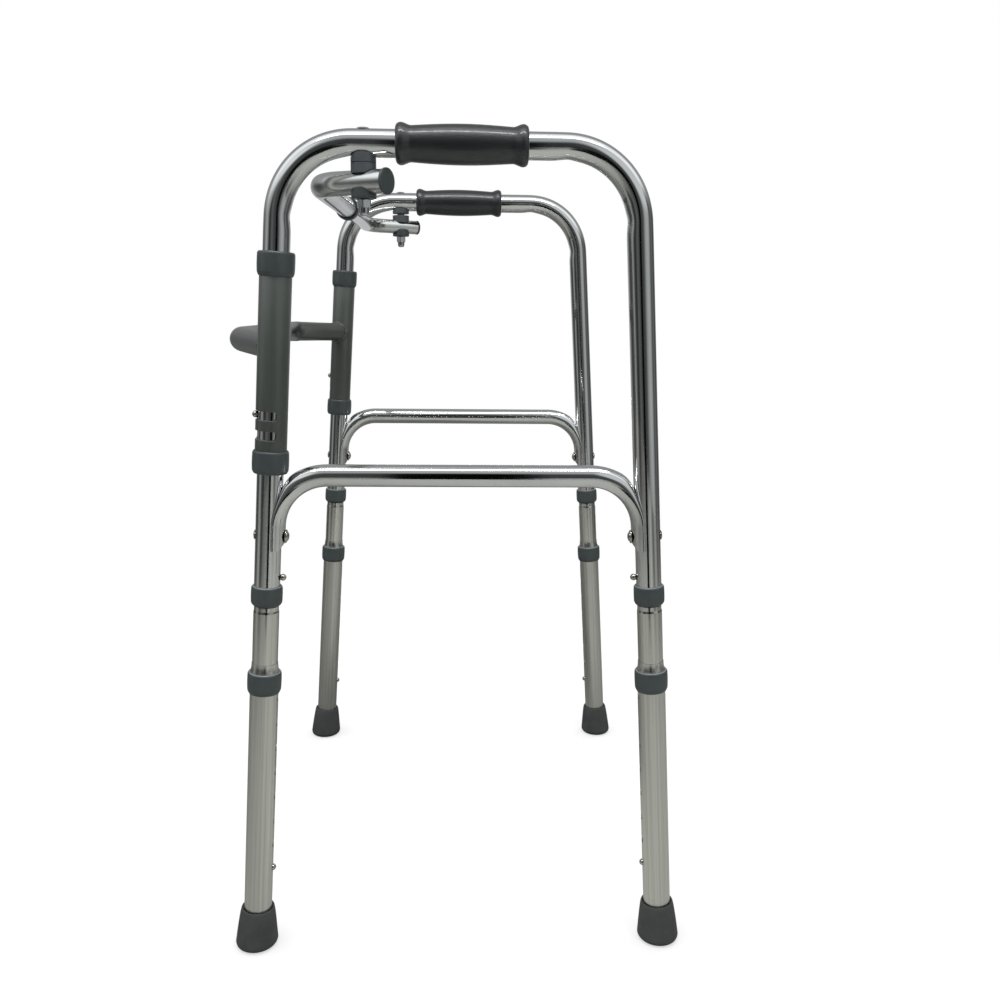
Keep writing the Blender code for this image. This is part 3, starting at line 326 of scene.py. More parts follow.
class Wire:
    # A node's socket that Python's operators build on: Math for numbers, Vector Math for
    # vectors. node() adds any other kind, its settings first and then its sockets.
    def __init__(self, socket):
        self.socket, self.tree = socket, socket.id_data

    def node(self, kind, settings=(), sockets=(), output=0):
        made = self.tree.nodes.new(kind)
        for key, value in dict(settings).items():
            setattr(made, key, value)
        for key, value in dict(sockets).items():
            feed(made.inputs[key], value)
        return Wire(made.outputs[output])

    def maths(self, operation, first, second):
        if self.socket.type == "VALUE":
            return self.node("ShaderNodeMath", {"operation": operation}, {0: first, 1: second})
        pair = [(v, v, v) if isinstance(v, (int, float)) else v for v in (first, second)]
        return self.node("ShaderNodeVectorMath", {"operation": operation}, dict(enumerate(pair)))

    def __add__(self, other):
        return self.maths("ADD", self, other)

    def __radd__(self, other):
        return self.maths("ADD", other, self)

    def __sub__(self, other):
        return self.maths("SUBTRACT", self, other)

    def __rsub__(self, other):
        return self.maths("SUBTRACT", other, self)

    def __mul__(self, other):
        return self.maths("MULTIPLY", self, other)

    def __rmul__(self, other):
        return self.maths("MULTIPLY", other, self)

    def between(self, low, high, start=0.0, stop=1.0):
        # Carries low..high to start..stop, and holds the rest at the ends
        values = {"Value": self, "From Min": low, "From Max": high, "To Min": start, "To Max": stop}
        return self.node("ShaderNodeMapRange", {"clamp": True}, values)

    def mix(self, plain, full):
        # A colour from plain to full, by this factor
        return self.node("ShaderNodeMix", {"data_type": "RGBA"}, {0: self, 6: plain, 7: full}, 2)

    def tint(self, colour, low, high):
        # A colour times low to the same times high, by this factor
        return self.mix(opaque(colour, low), opaque(colour, high))

    def noise(self, scale, detail=3.0, roughness=0.55):
        # Even noise on these coordinates, about 0.5 on average
        return self.node("ShaderNodeTexNoise", {"noise_dimensions": "3D"},
                         {"Vector": self, "Scale": scale, "Detail": detail, "Roughness": roughness})

    def length(self):
        return self.node("ShaderNodeVectorMath", {"operation": "LENGTH"}, {0: self}, "Value")

    def bump(self, distance):
        return self.node("ShaderNodeBump", {}, {"Height": self, "Distance": distance})


def feed(socket, value):
    if isinstance(value, Wire):
        socket.id_data.links.new(value.socket, socket)
    else:
        socket.default_value = value


def opaque(colour, gain=1.0):
    return (colour[0] * gain, colour[1] * gain, colour[2] * gain, 1)


def material(name, paint, fixed):
    # A Principled material. paint(coordinates, flow) gives the sockets that vary, and fixed
    # holds the others.
    made = bpy.data.materials.new(name)
    made.use_nodes = True
    nodes = made.node_tree.nodes
    shader = nodes["Principled BSDF"]
    coordinates = Wire(nodes.new("ShaderNodeTexCoord").outputs["Object"])
    flow = coordinates.node("ShaderNodeAttribute", {"attribute_name": "flow"}, output="Vector")
    for key, value in {**fixed, **paint(coordinates, flow)}.items():
        feed(shader.inputs[key], value)
    return made


polished = {"colour": (0.86, 0.87, 0.865), "shade": (1.0, 0.93), "rough": (0.06, 0.12),
            "barRough": (0.15, 0.22), "lines": 1500.0, "waves": 62.0, "waveDepth": 0.00004,
            "marks": (16.0, 5.0)}


def paintPolished(at, flow, rough=polished["rough"]):
    # Fine drawn lines in the gloss, finger marks, and long shallow waves left by the drawing
    drawn = (flow * (1.0, 1.0, 0.006)).noise(polished["lines"], 2.0)
    wave = (flow * (1.0, 1.0, 0.12)).noise(polished["waves"], 1.0)
    touched = at.noise(*polished["marks"]).between(0.42, 0.72)
    return {
        "Base Color": touched.tint(polished["colour"], *polished["shade"]),
        "Roughness": span(rough, drawn * 0.5 + touched * 0.5),
        "Normal": wave.bump(polished["waveDepth"]),
    }


def paintBar(at, flow):
    return paintPolished(at, flow, polished["barRough"])


satin = {"colour": (0.79, 0.79, 0.745), "shade": (0.84, 1.10), "bandRough": 0.09,
         "rough": (0.25, 0.36), "lines": 1900.0, "streaks": 520.0, "lineDepth": 0.000006,
         "gloss": (0.0120, 0.0143)}     # radii from which the roughness grows, and where it is full


def paintSatin(at, flow):
    # Drawn lines and streaks. The inner tube, told by its radius, is glossier than the wider
    # lower one, and the band that the swaging die polished is glossier still.
    drawn = (flow * (1.0, 1.0, 0.008)).noise(satin["lines"], 3.0)
    streak = (flow * (1.0, 1.0, 0.003)).noise(satin["streaks"], 2.0)
    cloud = at.noise(11.0, 4.0)
    matt = (flow * (1.0, 1.0, 0.0)).length().between(*satin["gloss"])
    gloss, (low, high) = satin["bandRough"], satin["rough"]
    tone = (drawn * 0.3 + streak * 0.7).between(0.37, 0.63)
    return {
        "Base Color": tone.tint(satin["colour"], *satin["shade"]),
        "Roughness": gloss + matt * span((low - gloss, high - gloss), drawn * 0.6 + cloud * 0.4),
        "Normal": drawn.bump(satin["lineDepth"]),
    }


paint = {"colour": (0.054, 0.063, 0.056), "shade": (0.88, 1.14), "rough": (0.30, 0.42),
         "peel": 950.0, "peelDepth": 0.00006, "lines": 900.0}


def paintBrace(at, flow):
    # Semi-matt paint with a fine peel, over drawn lines that show through it
    peel = at.noise(paint["peel"], 2.0)
    cloud = at.noise(23.0, 4.0)
    drawn = (flow * (1.0, 1.0, 0.01)).noise(paint["lines"], 3.0)
    tone = (cloud * 0.5 + drawn * 0.5).between(0.35, 0.65)
    return {
        "Base Color": tone.tint(paint["colour"], *paint["shade"]),
        "Roughness": span(paint["rough"], cloud * 0.6 + peel * 0.4),
        "Normal": peel.bump(paint["peelDepth"]),
    }


# A cloud shades the colour between two of its own levels, the roughness takes half of the
# cloud and half of the grain, and the grain is embossed. Noises are scale and detail.
plastic = {"colour": (0.049, 0.061, 0.063), "shade": (0.93, 1.08), "rough": (0.30, 0.42),
           "cloud": (60.0, 3.0), "levels": (0.3, 0.7), "grain": (2100.0, 2.0), "depth": 0.00005}
# The saddles' plastic is the dark plastic painted lighter, as painted light from the lamp above
saddlePlasticPaintedLight = {**plastic, "colour": (0.074, 0.084, 0.092)}
# Pale colour for a painted highlight on the collars' top edge, where light from above catches it
rimHighlight = {"colour": (0.22, 0.24, 0.25), "rim": (-0.0008, -0.0001)}
rubber = {"colour": (0.055, 0.059, 0.059), "shade": (0.92, 1.2), "rough": (0.62, 0.80),
          "cloud": (70.0, 4.0), "levels": (0.35, 0.75), "grain": (1500.0, 3.0), "depth": 0.00007}
zinc = {"colour": (0.70, 0.73, 0.745), "shade": (1.0, 0.9), "rough": (0.07, 0.15),
        "cloud": (130.0, 3.0), "levels": (0.35, 0.7), "grain": (130.0, 3.0), "depth": 0.000004}
nickel = {**zinc, "colour": (0.60, 0.58, 0.52)}


def clouded(look):
    def paintCloud(at, flow):
        grain, cloud = at.noise(*look["grain"]), at.noise(*look["cloud"])
        return {
            "Base Color": cloud.between(*look["levels"]).tint(look["colour"], *look["shade"]),
            "Roughness": span(look["rough"], cloud * 0.5 + grain * 0.5),
            "Normal": grain.bump(look["depth"]),
        }
    return paintCloud


def paintRimHighlight(at, flow):
    # A leg's collars get a painted highlight, pale round the edge of the top, where their own
    # height is 0
    sockets = clouded(plastic)(at, flow)
    height = flow.node("ShaderNodeSeparateXYZ", {}, {"Vector": flow}, "Z")
    rim = height.between(*rimHighlight["rim"])
    return {**sockets, "Base Color": rim.mix(sockets["Base Color"], opaque(rimHighlight["colour"]))}


vinyl = {"colour": (0.0125, 0.0155, 0.0180), "shade": (0.9, 1.15), "rough": (0.24, 0.34),
         "pebble": 950.0, "depth": 0.00028, "glints": (0.40, 0.56)}


def paintVinyl(at, flow):
    # A pebbled skin, with a gloss on the tops of the pebbles that glints
    pebble = at.noise(vinyl["pebble"], 3.0, 0.65)
    cloud = at.noise(45.0, 3.0)
    return {
        "Base Color": pebble.between(0.35, 0.7).tint(vinyl["colour"], *vinyl["shade"]),
        "Roughness": span(vinyl["rough"], pebble * 0.7 + cloud * 0.3),
        "Coat Weight": pebble.between(*vinyl["glints"]),
        "Normal": pebble.bump(vinyl["depth"]),
    }


metal, moulded = {"Metallic": 1.0}, {"Specular IOR Level": 0.6}
coated = {"Coat Weight": 0.6, "Coat Roughness": 0.30}
finishes = {
    "polished_tube": material("polishedAluminium", paintPolished, metal),
    "barTube": material("brushedAluminium", paintBar, metal),
    "satin_tube": material("satinAluminium", paintSatin, metal),
    "painted_brace": material("greyPaint", paintBrace, coated),
    "dark_plastic": material("darkPlastic", clouded(plastic), moulded),
    # Collar plastic with a painted highlight round its top edge
    "rimHighlightPlastic": material("rimHighlightPlastic", paintRimHighlight, moulded),
    # Dark plastic painted lighter for the saddles, as painted light
    "saddlePlasticPaintedLight": material("saddlePlasticPaintedLight", clouded(saddlePlasticPaintedLight), moulded),
    "grip_vinyl": material("gripVinyl", paintVinyl, {**moulded, "Coat Roughness": 0.10}),
    "tip_rubber": material("tipRubber", clouded(rubber), {"Specular IOR Level": 0.4}),
    "zinc_steel": material("zincSteel", clouded(zinc), metal),
    "nickelSteel": material("nickelSteel", clouded(nickel), metal),
}
print("materials made:", len(finishes))


def piece(name, shell, slotName, body, *nodes, sharp=38, finish=None):
    # The shell as an object: doubles merged, faces turned outwards, shaded smooth
    data = bpy.data.meshes.new(name)
    points, faces = np.concatenate(shell.points), np.concatenate(shell.faces)
    data.from_pydata(points, [], faces)
    data.attributes.new("flow", "FLOAT_VECTOR", "POINT").data.foreach_set(
        "vector", np.concatenate(shell.flow).astype(np.float32).ravel())
    mesh = bmesh.new()
    mesh.from_mesh(data)
    bmesh.ops.remove_doubles(mesh, verts=mesh.verts, dist=2e-6)
    bmesh.ops.recalc_face_normals(mesh, faces=mesh.faces)
    mesh.to_mesh(data)
    mesh.free()
    data.materials.append(finishes[finish or slotName])
    data.shade_smooth()
    data.set_sharp_from_angle(angle=math.radians(sharp))
    made = bpy.data.objects.new(name, data)
    scene.collection.objects.link(made)
    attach(made, body)
    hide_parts(*nodes)


# Side frames: one bent tube each

frameTube = {
    "oval": 0.022,          # share by which a bend flattens the tube
    "dentDepth": 0.0012,    # small kink where each top bend starts, on its inside
    "dentLength": 0.0085,
    "dentRows": np.linspace(-0.02, 0.02, 27),
    "bendStep": 0.0022,
    "ovalRamp": 0.03,
}


def frameRoute(side):
    x, low = side * walker["halfWidth"], walker["uprightEnd"]
    y = walker["footSpread"] - low * tanLean
    corners = [(x, -y, low), (x, -topHalf, walker["topHeight"]),
               (x, topHalf, walker["topHeight"]), (x, y, low)]
    return Route(corners, walker["topBend"], (1, 0, 0))


def makeFrameTube(name, side):
    # Radius at turn a and distance s: R (1 + oval bent(s) cos 2a) less the kinks
    route = frameRoute(side)
    button = (walker["buttonHeight"] - walker["uprightEnd"]) / cosLean
    fold = (brace["upperSlot"] - walker["uprightEnd"]) / cosLean
    spots = [button, route.length - button, fold]
    extra = [row for spot in spots for row in buttonRows(spot)]
    for start, stop in route.bends:
        extra += [*(start + frameTube["dentRows"]), *(stop + frameTube["dentRows"])]
    rows = route.marks(frameTube["bendStep"], extra)
    rows, outer, inner = easedEnds(rows, walker["tubeR"], walker["tubeR"] - walker["wall"])
    turn = turnsOf(64)[None, :]
    bent = route.bentShare(rows, frameTube["ovalRamp"])[:, None]
    form = 1 + frameTube["oval"] * bent * np.cos(2 * turn)
    dents = sum(bell(rows - kink, frameTube["dentLength"]) for bend in route.bends for kink in bend)
    dents = frameTube["dentDepth"] * dents[:, None] * np.clip(np.sin(turn), 0, 1) ** 3
    holes = [buttonHoleAt(spot) for spot in spots[:2]] + [buttonHoleAt(fold, turn=3 * math.pi / 2)]
    shell = wall(Shell(), route.surface, rows, outer[:, None] * form - dents,
                 inner[:, None] * form - dents, holes=holes)
    piece(f"frameTube_{name}", shell, "polished_tube", f"side_frame_{name}",
          f"side_frame_tube_{name}")


# Arches between the uprights, with crushed and riveted ends

arch = {
    "radius": 0.011,
    "bendR": 0.053,
    "overhang": 0.0073,     # how far the arch's own line stays outside the upright's skin
    "thickness": 0.0034,    # of the crushed end
    "halfSpan": math.radians(70),
    "blend": math.radians(58),
    "squareness": 2.6,
    "cut": 0.0070,          # how much shorter the crushed end is on its outside
    "cutFrom": 0.0066,      # the cut slants from this far outside the arch's line
    "cutFades": 0.014,
    "bendStep": 0.0016,
}


def archSkin(route, rows, turn, radius, thickness, halfSpan, least, side):
    # Round (r cos a, r sin a) in the middle, and at the ends a crescent round the upright:
    # at angle 90 - span cos a, at the saddle's radius + half the thickness * tanh(k sin a)
    place, way = route.at(rows)
    k = arch["squareness"]
    clearOuter = arch["overhang"] + walker["clearance"] + arch["thickness"]
    saddle = walker["tubeR"] + walker["clearance"] + arch["thickness"] / 2
    reach = saddle + thickness / 2 * np.tanh(k * np.sin(turn)) / math.tanh(k)
    lie = np.pi / 2 - halfSpan * np.cos(turn)
    crushed = reach * np.cos(lie), reach * np.sin(lie) - (walker["tubeR"] - arch["overhang"])
    bent = np.min([np.arccos(np.clip(way @ last, -1, 1)) for last in (way[0], way[-1])], axis=0)
    share = smooth(bent / arch["blend"])[:, None]
    across = radius * np.cos(turn) * share + crushed[0] * (1 - share)
    lift = radius * np.sin(turn) * share + crushed[1] * (1 - share)
    outwards = np.clip((crushed[1] - arch["cutFrom"]) / (clearOuter - arch["cutFrom"]), 0, 1)
    fromEnd = np.minimum(rows, route.length - rows)[:, None]
    slant = arch["cut"] * outwards * (1 - smooth(fromEnd / arch["cutFades"]))
    slant = slant * np.sign(route.length / 2 - rows[:, None])
    points, flow = route.offset(rows[:, None] + slant, across, lift)
    for end in ends.values():
        m = legFrame(side, end)
        local = (points - m[:3, 3]) @ m[:3, :3]
        out = np.hypot(local[..., 0], local[..., 1])
        push = np.maximum(1, least / np.maximum(out, 1e-6))
        local[..., :2] *= np.where(out < least, push, 1)[..., None]
        mine = (points[..., 1:2] * end) > 0
        points = np.where(mine, moved(local, m), points)
    return points, flow


def makeArch(name, side):
    x = side * walker["halfWidth"]
    offset = (walker["tubeR"] - arch["overhang"]) / cosLean
    low, high = ((walker["footSpread"] - h * tanLean) - offset
                 for h in (walker["archEnd"], walker["archHeight"]))
    corners = [(x, -low, walker["archEnd"]), (x, -high, walker["archHeight"]),
               (x, high, walker["archHeight"]), (x, low, walker["archEnd"])]
    route = Route(corners, arch["bendR"], (1, 0, 0))
    start, stop = route.bends[0][0], route.bends[1][1]
    legs = [*np.linspace(0, start, 8), *np.linspace(stop, route.length, 8)]
    rows = route.marks(arch["bendStep"], legs)
    # The bore is the same skin, one wall further in all round
    clear, skins = walker["tubeR"] + walker["clearance"], []
    for bite in (0, walker["wall"]):
        halfSpan = arch["halfSpan"] - 1.6 * bite / clear
        skins.append(archSkin(route, rows, turnsOf(72)[None, :], arch["radius"] - bite,
                              arch["thickness"] - 2 * bite, halfSpan, clear + bite, side))
    shell = Shell()
    shell.ring(*skins)
    piece(f"arch_{name}", shell, "polished_tube", f"side_frame_{name}", f"arch_tube_{name}")


rivet = {"shank": 0.0024, "head": 0.0049, "headHeight": 0.0015, "washer": 0.0068,
         "washerThickness": 0.0012, "domeHeight": 0.0024, "foot": 0.0002, "bevel": 0.0005}


def quarter(radius, base, rise, steps=8):
    # From a dome's rim to its top: (radius cos a, base + rise sin a)
    a = np.linspace(0, np.pi / 2, steps + 1)
    return list(zip(radius * np.cos(a), base + rise * np.sin(a)))


def makeRivet(name, end, side):
    # A turned profile: flat head in the upright, shank, washer, and a domed head
    outer = -(walker["tubeR"] + walker["touch"])
    washer = walker["tubeR"] + walker["clearance"] + arch["thickness"] + walker["touch"]
    face, r, shank = washer + rivet["washerThickness"], rivet["washer"], rivet["shank"]
    foot, bevel = rivet["foot"], rivet["bevel"]
    profile = [*quarter(rivet["head"], outer, -rivet["headHeight"])[::-1],
               (shank, outer), (shank, washer), (r - foot, washer), (r, washer + foot),
               (r, face - bevel), (r - bevel, face), (rivet["head"] + 2 * foot, face + foot / 2),
               *quarter(rivet["head"], face, rivet["domeHeight"])]
    shell = turned(Shell(), profile, legFrame(side, ends[end], walker["rivetHeight"]) @ alongY, 40)
    label = f"{end}_{name}"
    piece(f"archRivet_{label}", shell, "zinc_steel", f"side_frame_{name}", f"arch_rivet_{label}",
          finish="nickelSteel")


# Hand grips

grip = {
    "length": 0.12236,
    "shift": {"left": -0.0088, "right": -0.0158},
    "middleR": 0.0182,
    "neckR": 0.0162,
    "ringR": 0.0189,
    "neckFromEnd": 0.0145,
    "ringFromEnd": 0.0050,
    "endDepth": 0.0042,
    "mouth": 0.0006,
}


def makeGrip(name, side):
    # Radius up the length: a smooth step between each pair of (place, radius) stations
    half, bore = grip["length"] / 2, walker["tubeR"] + walker["touch"]
    stations = [0, half - grip["neckFromEnd"], half - grip["ringFromEnd"], half]
    radii = [grip["middleR"], grip["neckR"], grip["ringR"], grip["ringR"] - grip["endDepth"]]
    y = np.unique(np.concatenate([np.linspace(a, b, 14) for a, b in zip(stations, stations[1:])]))
    r = np.zeros_like(y)
    for (a, b), (low, high) in zip(zip(stations, stations[1:]), zip(radii, radii[1:])):
        here = (y >= a) & (y <= b)
        share = (y[here] - a) / (b - a)
        curve = 1 - np.cos(np.pi / 2 * share) if a == 0 else smooth(share)
        if b == half:
            curve = 1 - np.sqrt(1 - share ** 2)
        r[here] = low + (high - low) * curve
    upper = [*zip(r, y), (bore + grip["mouth"], half), (bore, half - grip["mouth"])]
    profile = [(radius, -h) for radius, h in upper[::-1][:-1]] + upper
    middle = (topStraight + pinY + pivot["saddleR"]) / 2 + grip["shift"][name]
    place = shift(side * walker["halfWidth"], middle, walker["topHeight"]) @ alongY
    shell = turned(Shell(), profile, place, 72, looped=True)
    piece(f"grip_{name}", shell, "grip_vinyl", f"side_frame_{name}", f"hand_grip_{name}")


# Legs

collar = {
    "lip": 0.0033,
    "bulge": 0.0004,
    "barrel": (0.14, 0.93, 9),     # first and last point, in lengths, and their number
    "footRound": 0.0017,
    "headRound": 0.0014,
    "upright": (0.0198, 0.00255),  # length and wall
    "leg": (0.0224, 0.00245),
    "sleeve": (0.0225, 0.0021),
}
legCollarTop = walker["lowerTubeTop"] / cosLean + walker["touch"] + collar["lip"]
leg = {
    "tubeR": 0.0127,
    "lowerR": 0.0143,
    "end": 0.075,
    "lowerEnd": 0.012,
    "shoulder": 0.3725,
    "shoulderLength": 0.0022,
    "bandR": 0.0122,        # between the shoulder and the collar
    "neckR": 0.0112,
    "neckFrom": 0.0010,     # below the upright's collar
    "neckLength": 0.0006,
    "pastButton": 0.030,    # how far the neck runs on above its snap button
    "mouthR": 0.0131,       # the lower tube closes to this above its collar
    "mouthBore": 0.01288,
    "mouthLength": 0.0095,
    "holePitch": 0.027,
    "holeCount": 8,
}


def makeInnerTube(label, end, side):
    # Full tube below the shoulder, a band above it, then a neck swaged to fit the upright's
    # bore: each radius goes to the next by smooth(t)
    low, shoulder, *spots = (height / cosLean for height in (
        leg["end"], leg["shoulder"], walker["buttonHeight"], walker["heightButton"]))
    high, foot = (height / cosLean for height in (
        walker["buttonHeight"] + leg["pastButton"], walker["uprightCollarEnd"]))
    rows = np.unique(np.round([low, high, *buttonRows(spots[0]), *buttonRows(spots[1]),
                               *(shoulder + np.linspace(-0.003, 0.0004, 8)),
                               *(foot + np.linspace(-0.0012, -0.0002, 5))], 7))
    toBand = smooth((rows - shoulder) / leg["shoulderLength"] + 1)
    toNeck = smooth((rows - foot + leg["neckFrom"]) / leg["neckLength"])
    outer = span((leg["tubeR"], leg["bandR"]), toBand) + (leg["neckR"] - leg["bandR"]) * toNeck
    shell = wall(Shell(), straightUp(legFrame(side, end)), rows, outer, outer - walker["wall"],
                 holes=[buttonHoleAt(spot) for spot in spots])
    name = label.split("_")[1]
    piece(f"innerLeg_{label}", shell, "satin_tube", f"side_frame_{name}", f"leg_inner_tube_{label}")


def makeLowerTube(label, end, side):
    # A straight tube (r cos a, r sin a, h) with a row of holes. Above its collar the radius is
    # mouth + (r - mouth) (1 - t)^2.
    spots = (walker["heightButton"] + leg["holePitch"] * np.arange(leg["holeCount"])) / cosLean
    rows = np.concatenate([[leg["lowerEnd"] / cosLean], *[buttonRows(spot) for spot in spots],
                           legCollarTop + leg["mouthLength"] * np.linspace(0, 1, 8)])
    rows = np.unique(np.round(rows, 7))
    closed = 1 - np.clip(1 - (rows - legCollarTop) / leg["mouthLength"], 0, 1) ** 2
    outer = span((leg["lowerR"], leg["mouthR"]), closed)
    inner = span((leg["lowerR"] - walker["wall"], leg["mouthBore"]), closed)
    shell = wall(Shell(), straightUp(legFrame(side, end)), rows, outer, inner,
                 holes=[buttonHoleAt(spot) for spot in spots])
    piece(f"lowerLeg_{label}", shell, "satin_tube", f"lower_leg_{label}", f"leg_lower_tube_{label}")


def collarProfile(kind, seat, lip, flip=False):
    # Lip at the foot and seat above it. The outside is a shallow barrel, outer less
    # bulge (2t - 1)^2, with a wide round below and a tight one above as it stands. Heights
    # are counted from the collar's top.
    length, thick = collar[kind]
    t = np.linspace(*collar["barrel"])
    barrel = np.stack([seat + thick - collar["bulge"] * (2 * t - 1) ** 2, length * t], -1)
    foot, head = seat + thick - collar["footRound"], seat + thick - collar["headRound"]
    if flip:
        barrel[:, 1], foot, head = (length - barrel[:, 1])[::-1], head, foot
    corners = np.array([(lip, 0), (foot, 0), *barrel, (head, length), (seat, length),
                        (seat, collar["lip"]), (lip, collar["lip"])])
    profile = eased(corners, [0.0003, 0.0012, *[0.0009] * 9, 0.0007, 0.0004, 0.0002, 0.0002])
    return profile * (1, -1) if flip else profile - (0, length)


def makeLegCollars(label, end, side):
    name, touch = label.split("_")[1], walker["touch"]
    profile = collarProfile("upright", walker["tubeR"] + touch, leg["neckR"] + touch)
    place = legFrame(side, end, walker["uprightCollarEnd"]) @ shift(0, 0, collar["upright"][0])
    shell = turned(Shell(), profile, place, 64, looped=True)
    # Both collars take the plastic with a painted highlight round its top edge
    piece(f"uprightCollar_{label}", shell, "dark_plastic", f"side_frame_{name}",
          f"upright_collar_{label}", finish="rimHighlightPlastic")
    profile = collarProfile("leg", leg["lowerR"] + touch, leg["lowerR"] + touch, flip=True)
    place = legFrame(side, end) @ shift(0, 0, legCollarTop)
    shell = turned(Shell(), profile, place, 64, looped=True)
    piece(f"legCollar_{label}", shell, "dark_plastic", f"lower_leg_{label}",
          f"leg_collar_{label}", finish="rimHighlightPlastic")


tip = {
    "height": 0.044,
    "rimWall": 0.00265,
    "widestR": 0.0219,
    "widestAt": 0.0062,
    "soleR": 0.0158,
    "swell": 0.8,
    "treads": ((0.0030, 0.0052), (0.0076, 0.0098), (0.0120, 0.0140)),
    "treadDepth": 0.0012,
    "treadSlope": 0.0003,
    "shearTo": 0.02,        # the floor's slant has faded out at this height
}


def makeTip(label, end, side):
    # Turned profile: sole with ring grooves, a quarter ellipse out to the widest place, then
    # rim + (widest - rim) (1 - t)^swell up the flank. The foot is sheared level with the
    # floor: height + y tan(lean), fading out over the lower part.
    seat, widest = leg["lowerR"] + walker["touch"], (tip["widestR"], tip["widestAt"])
    rim, top = seat + tip["rimWall"], tip["height"]
    slope, deep = tip["treadSlope"], tip["treadDepth"]
    groove = [spot for a, b in tip["treads"]
              for spot in ((a, 0), (a + slope, deep), (b - slope, deep), (b, 0))]
    a = np.linspace(0, np.pi / 2, 12)
    foot = zip(span((tip["soleR"], widest[0]), np.sin(a)), widest[1] * (1 - np.cos(a)))
    t = np.linspace(0, 1, 16)[1:]
    flank = zip(span((rim, widest[0]), (1 - t) ** tip["swell"]), span((widest[1], top - 0.0012), t))
    inner = leg["lowerEnd"] - walker["touch"]
    mouth = [(rim - 0.0003, top - 0.0004), (rim - 0.0008, top), (seat + 0.0011, top),
             (seat + 0.0007, top - 0.0003), (seat, top - 0.0016), (seat, inner), (0, inner)]
    profile = np.array([(0, 0), *groove, *foot, *flank, *mouth])
    profile[:, 1] /= cosLean
    turn = turnsOf(64)[None, :]
    r, h = profile[:, :1], profile[:, 1:]
    local = polar(r, turn, h)
    fade = 1 - smooth(local[..., 2] / tip["shearTo"])
    fade[-2:] = 0
    local[..., 2] += local[..., 1] * tanLean * fade
    shell = Shell()
    shell.grid(moved(local, legFrame(side, end)), local)
    piece(f"tip_{label}", shell, "tip_rubber", f"lower_leg_{label}", f"rubber_tip_{label}")


# Snap buttons on their leaf springs

button = {
    "radius": 0.0034,
    "flange": 0.0044,
    "flangeThickness": 0.001,
    "waist": 0.0027,
    "leafLength": 0.024,
    "leafWidth": 0.005,
    "leafThickness": 0.0007,
    "leafSteps": 60,
    "edge": 0.0001,
    "proud": {"legLock": 0.0061, "heightButton": 0.0033, "foldLock": 0.0034},
    "nodes": {"legLock": "leg_lock_button", "heightButton": "height_button",
              "foldLock": "fold_lock_button"},
}


def addLeaf(shell, start, matrix):
    # A strip along a bent line: the line's corners are averaged over a short window
    length, t, steps = button["leafLength"], button["leafThickness"], button["leafSteps"]
    flat, bow = button["radius"], length * 0.9
    line = np.array([(start + t / 2, -flat), (start + t / 2, flat), (start * 0.65, bow),
                     (start * 0.38, length), (start * 0.11, bow), (-start * 0.35, flat)])
    gone = np.concatenate([[0], np.cumsum(np.linalg.norm(np.diff(line, axis=0), axis=1))])
    s = np.linspace(0, gone[-1], steps)
    path = np.stack([np.interp(s, gone, line[:, k]) for k in (0, 1)], -1)
    padded = np.concatenate([path[:1]] * 3 + [path] + [path[-1:]] * 3)
    path = sum(padded[k:k + steps] for k in range(7)) / 7
    way = unit(np.gradient(path, axis=0))
    across = np.stack([way[:, 1], -way[:, 0]], -1) * t / 2
    half = button["leafWidth"] / 2
    rings = [np.stack([np.full(steps, x), *(path + side * across).T], -1)
             for x, side in ((-half, 1), (half, 1), (half, -1), (-half, -1))]
    index = shell.grid(moved(np.stack(rings, 1), matrix))
    shell.faces += [index[:1], index[-1:]]


def makeButton(kind, label, tubeR, wallR, matrix, ball=True):
    # Flange inside the bore, then a straight nose or a ball on a waist, with a round top. The
    # flange's face is seated on a bore of 14 flat sides.
    flange, edge = button["flange"], button["edge"]
    bore = (tubeR - walker["wall"]) * math.cos(math.pi / 14)
    face = math.sqrt(bore ** 2 - flange ** 2) - walker["touch"]
    back, r = face - button["flangeThickness"], button["radius"]
    centre = wallR + button["proud"][kind] - r
    profile = [(0, back), (flange - edge, back), (flange, back + edge),
               (flange, face - edge), (flange - edge, face)]
    if ball:
        waist = button["waist"]
        start = -math.acos(waist / r)
        a = np.linspace(start, np.pi / 2, 16)
        profile += [(waist, face), (waist, centre + r * math.sin(start))]
        profile += list(zip(r * np.cos(a), centre + r * np.sin(a)))
    else:
        profile += [(r, face), *quarter(r, centre, r, 10)]
    shell = turned(Shell(), profile, matrix @ alongY, 40)
    addLeaf(shell, back, matrix)
    node = f"{button['nodes'][kind]}_{label}"
    piece(f"{kind}_{label}", shell, "zinc_steel", node, node, finish="nickelSteel")


def makeButtons():
    for name, side in sides.items():
        for end, way in ends.items():
            label = f"{end}_{name}"
            makeButton("legLock", label, leg["neckR"], walker["tubeR"],
                       legFrame(side, way, walker["buttonHeight"]))
            makeButton("heightButton", label, leg["tubeR"], leg["lowerR"],
                       legFrame(side, way, walker["heightButton"]), ball=False)
        forward = legFrame(side, -1, brace["upperSlot"]) @ axes((-1, 0, 0), (0, -1, 0), (0, 0, 1))
        makeButton("foldLock", name, walker["tubeR"], brace["sleeveR"], forward)


# Front brace: two slotted sleeves, and a cross tube coped and welded to them

